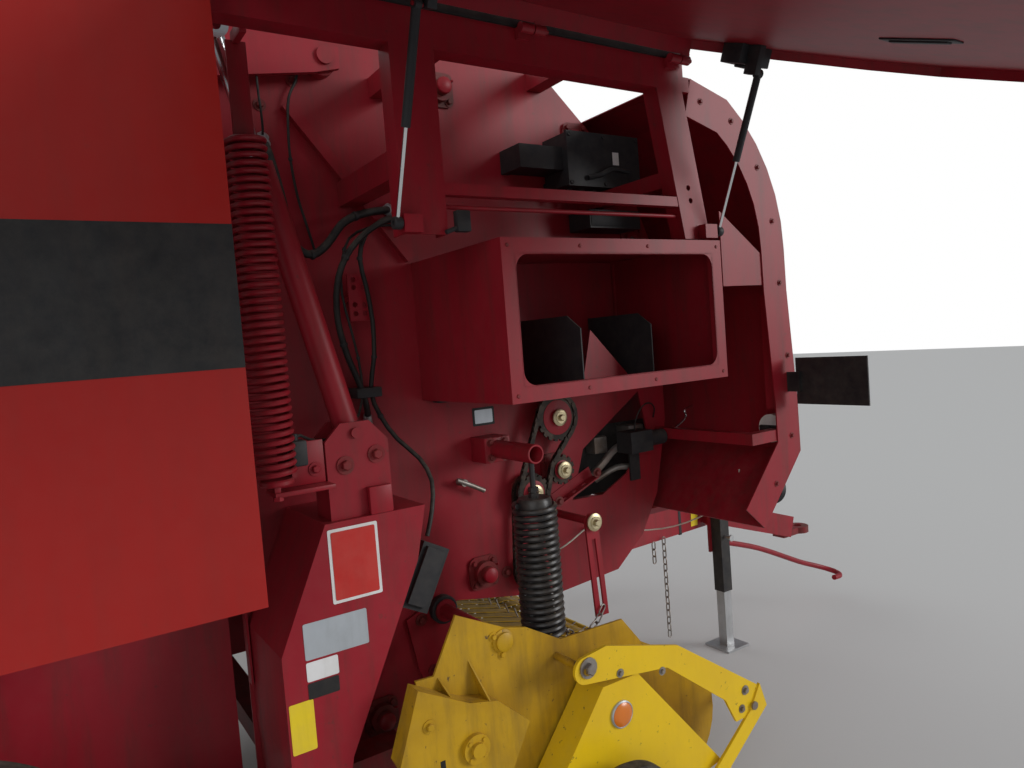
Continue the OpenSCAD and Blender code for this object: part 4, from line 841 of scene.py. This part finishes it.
socket = bmesh.new()
add_block(socket, (2563, -1072, 1203), (2576, -988, 1227), 3)
add_round(socket, (2563, -1030, 1215), (-1, 0, 0), 9, 22, 12)
finish_piece("lamp_sockets", socket, "black_plastic", both=True)

lens = bmesh.new()
add_turned(lens, (2655, -1030, 1215), FORWARD,
           [(0, 0), (52, 0), (52, 6), (46, 8), (43, 6), (30, 10), (0, 12)], 32)
add_turned(lens, (2608, -1300, 1400), FORWARD, [(0, 0), (40, 0), (40, 4), (34, 7), (0, 9)], 28)
finish_piece("front_lenses", lens, "lamp_white", both=True)

# %% [markdown]
# ## Hoses and cables
# Black hoses lead oil and signals along the side. Each is a curve with its
# real thickness, because a curve bends smoothly and stays light, and each
# runs from where it leaves the machine to where it goes back in. The points
# were read along the hose, and a smooth way runs through them.

# %% Lay a hose
def lay_hose(name, wide, stiffness, per_gap, points, finish="hose_rubber"):
    thick = wide / MM
    way = smooth_way([spot(*point) for point in points], per_gap)
    data = bpy.data.curves.new(name, "CURVE")
    data.dimensions = "3D"
    data.bevel_depth = thick / 2
    data.bevel_resolution = 2
    data.use_fill_caps = True
    line = data.splines.new("POLY")
    line.points.add(len(way) - 1)
    for point, place in zip(line.points, way):
        point.co = (*place, 1)
    data.materials.append(bpy.data.materials[finish])
    hose = put(name, data)
    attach(hose, "chassis")
    return smooth_way(points, per_gap)


# %% Lay the hoses and cables on the right side
# Thickness, stiffness, steps in each gap, the places along the hose, and its finish if not black
HOSES = {
    "thick_hose": (24, "stiff", 3, [
        (936, -625, 2235), (938, -665, 2190), (942, -700, 2120), (952, -715, 2035), (960, -715, 1965),
        (980, -715, 1912), (1022, -715, 1892), (1068, -715, 1922), (1115, -715, 1978),
        (1160, -715, 2004), (1215, -705, 2020), (1270, -680, 2032), (1310, -625, 2045)]),
    "signal_cable": (14, "medium", 2, [
        (1330, -625, 2010), (1300, -680, 2012), (1245, -712, 1995), (1185, -722, 1950),
        (1160, -722, 1880), (1175, -716, 1800), (1190, -706, 1700), (1188, -700, 1590),
        (1172, -690, 1490), (1196, -690, 1410), (1240, -700, 1335), (1292, -735, 1270),
        (1300, -790, 1205), (1270, -835, 1130), (1240, -850, 1060)]),
    "sensor_cable": (8, "medium", 2, [
        (1345, -625, 1985), (1280, -690, 1985), (1200, -704, 1972), (1138, -708, 1940),
        (1110, -706, 1870), (1104, -702, 1780), (1120, -700, 1690), (1138, -698, 1590),
        (1142, -700, 1500), (1118, -715, 1425), (1050, -775, 1385), (965, -848, 1380),
        (905, -905, 1392), (870, -940, 1410), (851, -950, 1405)]),
    "twin_hose": (19, "stiff", 3, [
        (1338, -625, 1998), (1290, -700, 2000), (1235, -735, 1985), (1168, -744, 1945),
        (1108, -744, 1880), (1078, -738, 1800), (1074, -730, 1700), (1096, -722, 1600),
        (1130, -706, 1520), (1162, -672, 1440), (1180, -625, 1390)]),
    "thin_cable": (8, "medium", 3, [
        (1060, -625, 2450), (1045, -640, 2405), (1018, -645, 2350), (1009, -645, 2270),
        (1007, -645, 2175), (1018, -645, 2070), (1034, -645, 2000), (1048, -640, 1950),
        (1062, -625, 1915)]),
    "rear_cable": (7, "medium", 3, [
        (925, -625, 2500), (927, -650, 2460), (925, -668, 2400), (925, -672, 2340), (929, -668, 2290),
        (934, -650, 2250), (936, -625, 2225)]),
    "valve_cable": (6, "medium", 3, [
        (2235, -668, 1225), (2240, -672, 1262), (2262, -672, 1300), (2300, -668, 1325),
        (2345, -655, 1322), (2375, -640, 1298), (2385, -620, 1262)]),
    "pale_cord": (6, "limp", 2, [
        (1840, -625, 840), (1858, -655, 852), (1900, -665, 872), (1965, -645, 888), (2040, -600, 885),
        (2130, -545, 862), (2230, -500, 826), (2330, -480, 792), (2430, -505, 776), (2505, -575, 788),
        (2548, -670, 830), (2548, -770, 885), (2542, -850, 950), (2548, -890, 1005),
        (2568, -880, 1048)], "cord_pale"),
}
WAYS = {name: lay_hose(name, *row) for name, row in HOSES.items()}

# %% [markdown]
# ## Fittings and ties on the hoses
# A hose ends in a pressed steel sleeve with a nut, and ties or clamps hold it
# to the sheet. They are short turned shapes, set along the hose's own way.

# %% Fit the sleeves and ties
sleeves = bmesh.new()
ties = bmesh.new()
for name in ("thick_hose", "twin_hose"):
    half = HOSES[name][0] / 2
    for way in (WAYS[name], WAYS[name][::-1]):
        out = (way[2] - way[0]).normalized()
        add_round(sleeves, way[0] - out * 4, out, half * 1.72, 12, 6)
        add_turned(sleeves, way[0] + out * 8, out,
                   [(half, 0), (half * 1.36, 0), (half * 1.36, 26), (half * 1.16, 30), (half, 30)],
                   16, closed=True)
for name, places in (("signal_cable", (8, 14, 18)), ("sensor_cable", (7, 14)), ("thin_cable", (12,)),
                     ("thick_hose", (18, 27)), ("twin_hose", (12, 20))):
    way, half = WAYS[name], HOSES[name][0] / 2
    for number in places:
        out = (way[number + 1] - way[number - 1]).normalized()
        add_turned(ties, way[number] - out * 4, out,
                   [(half, 0), (half + 2.2, 0), (half + 2.2, 8), (half, 8)], 14, closed=True)
# Clamp below the plate with holes, and the grey connector in the sensor's cable
add_block(ties, (1120, -712, 1470), (1200, -620, 1500), 4)
connector = bmesh.new()
way = WAYS["sensor_cable"]
add_turned(connector, way[19], way[21] - way[19],
           [(4, 0), (11, 3), (11, 22), (13, 22), (13, 34), (10, 34), (10, 52), (4, 56)], 16,
           closed=True)
# Straps round the drawbar's arm, which slants inward and down
ARM_INWARD = 0.3093
ARM_DOWN = 0.1025
for forward in (2280, 2870):
    along = forward - 1720
    arm = Vector((forward, -560 + along * ARM_INWARD, 805 - along * ARM_DOWN))
    for low, high in (((-8, -46, -68), (8, 46, -62)), ((-8, -46, 62), (8, 46, 68)),
                      ((-8, -46, -68), (8, -42, 68)), ((-8, 42, -68), (8, 46, 68))):
        add_block(ties, arm + Vector(low), arm + Vector(high))
finish_piece("hose_sleeves", sleeves, "zinc_steel")
finish_piece("cable_ties", ties, "black_plastic")
finish_piece("cable_connector", connector, "plate_silver")

# %% [markdown]
# ## Wheels: tread, hub caps and valves
# The frame's tyre is a turned body with four grooves. Road tread is made of
# blocks, so short lugs stand on both shoulders and tie bars cross the
# grooves. Cutting them out of the tyre with booleans is the other way, but
# lugs that are set round in a loop stay clean.

# %% Set the tread and the hub
AXLE_UP = 425
WHEEL_LEFT = -1025
LUGS = 54


def round_axle(shape, low, high, angle, soft=2):
    before = set(shape.verts)
    add_block(shape, low, high, soft)
    stand = Matrix.Translation((0, WHEEL_LEFT, AXLE_UP)) @ Matrix.Rotation(angle, 4, "Y")
    move(shape, stand, added(shape, before))


for side in ("right", "left"):
    lug = bmesh.new()
    for number in range(LUGS):
        angle = math.tau * number / LUGS
        for low, high in ((-167, -150), (150, 167)):
            round_axle(lug, (-14, low, 378), (14, high, 414), angle)
        for across, share in ((-93, 0.5), (-31, 0), (31, 0.5), (93, 0)):
            round_axle(lug, (-6, across - 10, 405), (6, across + 10, 421.5),
                       angle + math.tau / LUGS * share, 0)
    hub = bmesh.new()
    add_turned(hub, (0, WHEEL_LEFT - 29, AXLE_UP), OUTWARD,
               [(0, 0), (52, 0), (52, 10), (46, 26), (30, 36), (8, 39), (8, 46), (4, 50), (0, 50)], 32)
    for number in range(6):
        angle = math.tau * (number + 0.5) / 6
        place = (math.cos(angle) * 100, WHEEL_LEFT - 41, AXLE_UP - math.sin(angle) * 100)
        add_round(hub, place, OUTWARD, 8, 12, 10)
    add_round(hub, (172, WHEEL_LEFT - 50, AXLE_UP), (0.25, -1, 0), 5, 45, 8)
    for shape, name, finish in ((lug, "_tread", "tyre_rubber"), (hub, "_hub_cap", "zinc_steel")):
        if side == "left":
            move(shape, MIRROR)
        finish_piece(side + name, shape, finish, side + "_wheel")

# %% [markdown]
# ## Doors: strut heads, grip and lock
# Each door hangs closed in its own drawing and is turned up by its joint. So
# the parts are built on the closed door, and the right ones are turned round
# the hinge to where the frame holds them open.

# %% Build the parts of a door
DOOR_HINGE = Vector((0, -1135, 2440))
RAISED = (Matrix.Translation(DOOR_HINGE) @ Matrix.Rotation(math.radians(-68.5), 4, "X")
          @ Matrix.Translation(-DOOR_HINGE))
for side, stand in (("right", RAISED), ("left", MIRROR)):
    head = bmesh.new()
    for forward, toward in ((1095, 1), (2240, -1)):
        add_block(head, (forward - 68, -1197.5, 2261), (forward + 68, -1141, 2337), 2.5)
        add_block(head, (forward - 30, -1141, 2285), (forward + 30, -1133, 2313), 3)
        eye = forward + toward * 28
        add_block(head, (eye - 12, -1197.5, 2216), (eye + 12, -1114, 2261), 2)
    add_block(head, (2018, -1197, 1552), (2062, -1192, 1728), 2)
    add_block(head, (2030, -1193, 1570), (2050, -1188, 1710), 3)
    lock = bmesh.new()
    add_block(lock, (1560, -1197, 1085), (1640, -1165, 1150), 3)
    add_round(lock, (1600, -1165, 1118), INWARD, 11, 16, 14)
    for forward in (1572, 1628):
        add_round(lock, (forward, -1165, 1100), INWARD, 5, 3, 10)
    for shape, name, finish in ((head, "_strut_heads", "black_plastic"),
                                (lock, "_door_lock", "zinc_steel")):
        move(shape, stand)
        finish_piece(side + name, shape, finish, side + "_door")

# %% Feet of the struts, the seals and the gate's lamps
turned_piece("strut_feet", "black_plastic", "chassis", [(1084, -1130, 1910), (2229, -1130, 1910)],
             FORWARD, [(5.8, 0), (14, 0), (16, 3), (16, 19), (14, 22), (5.8, 22)], 16, closed=True)

seal = bmesh.new()
add_block(seal, (700, -1118, 2447), (2140, -1100, 2472), 5)
finish_piece("door_seals", seal, "hose_rubber", both=True)

for name, finish, left in (("rear_red_lenses", "lamp_red", -1108),
                           ("rear_amber_lenses", "amber_lens", -1024)):
    turned_piece(name, finish, "tailgate", [(-520, left, 1220)], (-1, 0, 0),
                 [(0, 0), (34, 0), (34, 4), (30, 7), (20, 9.5), (0, 11)])

# %% [markdown]
# ## The pickup's bolts, bushings and pins
# The pickup swings on two pins with black bushings, and its wind guard on
# two bolts. These stand on the body that moves, so that each one goes along.

# %% Bolt the pickup and its guard
bolts = bmesh.new()
for forward, up, width in ((1346, 774, 14), (1371, 716, 14)):
    add_bolt(bolts, (forward, -1000, up), OUTWARD, width)
for forward, up in ((1098, 624), (1150, 350), (1380, 330)):
    add_bolt(bolts, (forward, -1060, up), OUTWARD, 18)
for number in range(4):
    angle = math.tau * (number + 0.5) / 4
    place = (1228 + math.cos(angle) * 31, -1074, 520 + math.sin(angle) * 31)
    add_round(bolts, place, OUTWARD, 6, 4, 6)
add_turned(bolts, (1376, -1000, 754), OUTWARD,
           [(0, 0), (34, 0), (34, 4), (27, 6), (27, 15), (22, 18), (0, 18)], 28)
finish_piece("pickup_bolts", bolts, "worn_yellow", "pickup", both=True)

bolts = bmesh.new()
for forward, up, width in ((1568, 661, 30), (1685, 609, 13), (1852, 563, 13), (2221, 382, 16),
                           (2200, 325, 14)):
    add_bolt(bolts, (forward, -1140, up), OUTWARD, width)
for forward, up in ((2221, 382), (2200, 325)):
    add_round(bolts, (forward, -1130, up), INWARD, 10, 22, 12)
add_round(bolts, (2255, -1146, 320), OUTWARD, 14, 6, 14)
finish_piece("guard_bolts", bolts, "worn_steel", "windguard", both=True)

# A slot and a round hole in the pickup's cover are drawn as thin black plates: painted shade in the
# openings.
slot = bmesh.new()
add_block(slot, (1122, -1061.2, 484), (1136, -1060, 520))
add_block(slot, (1127, -1061.6, 490), (1131, -1061.2, 514))
add_round(slot, (1041, -1060, 514), OUTWARD, 8, 1.2, 14)
finish_piece("cover_slot_shades", slot, "stripe_black", "pickup", both=True)

turned_piece("pivot_bushings", "black_plastic", "chassis", [(1376, -632, 754)], OUTWARD,
             [(22.5, 0), (46, 0), (46, 22), (42, 26), (22.5, 26)], closed=True)
turned_piece("pivot_washers", "yellow_zinc", "chassis", [(1376, -658, 754)], OUTWARD,
             [(22.5, 0), (34, 0), (34, 4), (22.5, 5)], closed=True)

# %% [markdown]
# ## Sprocket faces, the shaft's guard and small things
# The sprockets have a red painted disc behind the steel teeth. The guard of
# the drive shaft ends in ribbed cones, and the drawbar has one blank label.

# %% Add the last small shapes
disc = bmesh.new()
for forward, up, left, radius in ((1870, 1325, -676.5, 62), (1875, 1137, -676.5, 34),
                                  (1745, 1075, -676.5, 44), (1715, 800, -649.5, 34)):
    add_turned(disc, (forward, left, up), OUTWARD,
               [(18, 0), (radius, 0), (radius, 1.5), (radius * 0.62, 4.5), (18, 4.5)], 28, closed=True)
finish_piece("sprocket_faces", disc, "red_paint")

guard_back = Vector((2420, 0, 960))
guard_front = Vector((3960, 0, 620))
guard_way = (guard_front - guard_back).normalized()
rib = bmesh.new()
for number in range(6):
    along = 30 + number * 24
    radius = 85 - 25 * along / 150
    for start, way in ((guard_back + guard_way * 20, guard_way),
                       (guard_front - guard_way * 60, -guard_way)):
        add_turned(rib, start + way * along, way,
                   [(radius - 4, -5), (radius + 4, -2), (radius + 4, 2), (radius - 5, 5)], 32,
                   closed=True)
finish_piece("guard_ribs", rib, "black_plastic")

label = bmesh.new()
add_block(label, (-36, -1.2, -46), (36, 0, 46))
move(label, Matrix.Translation((3020, -200.5, 672)) @ Matrix.Rotation(math.atan(ARM_INWARD), 4, "Z")
     @ Matrix.Rotation(math.radians(5.6), 4, "Y"))
finish_piece("drawbar_label", label, "sticker_yellow")

pale = bmesh.new()
add_block(pale, (2124, -775.2, 2202), (2152, -774, 2246))
finish_piece("box_labels", pale, "sticker_white", both=True)

pin = bmesh.new()
add_round(pin, (3137, -322, 560), INWARD, 9, 130, 14)
add_round(pin, (3137, -330, 560), INWARD, 16, 8, 14)
finish_piece("jack_pin", pin, "zinc_steel")
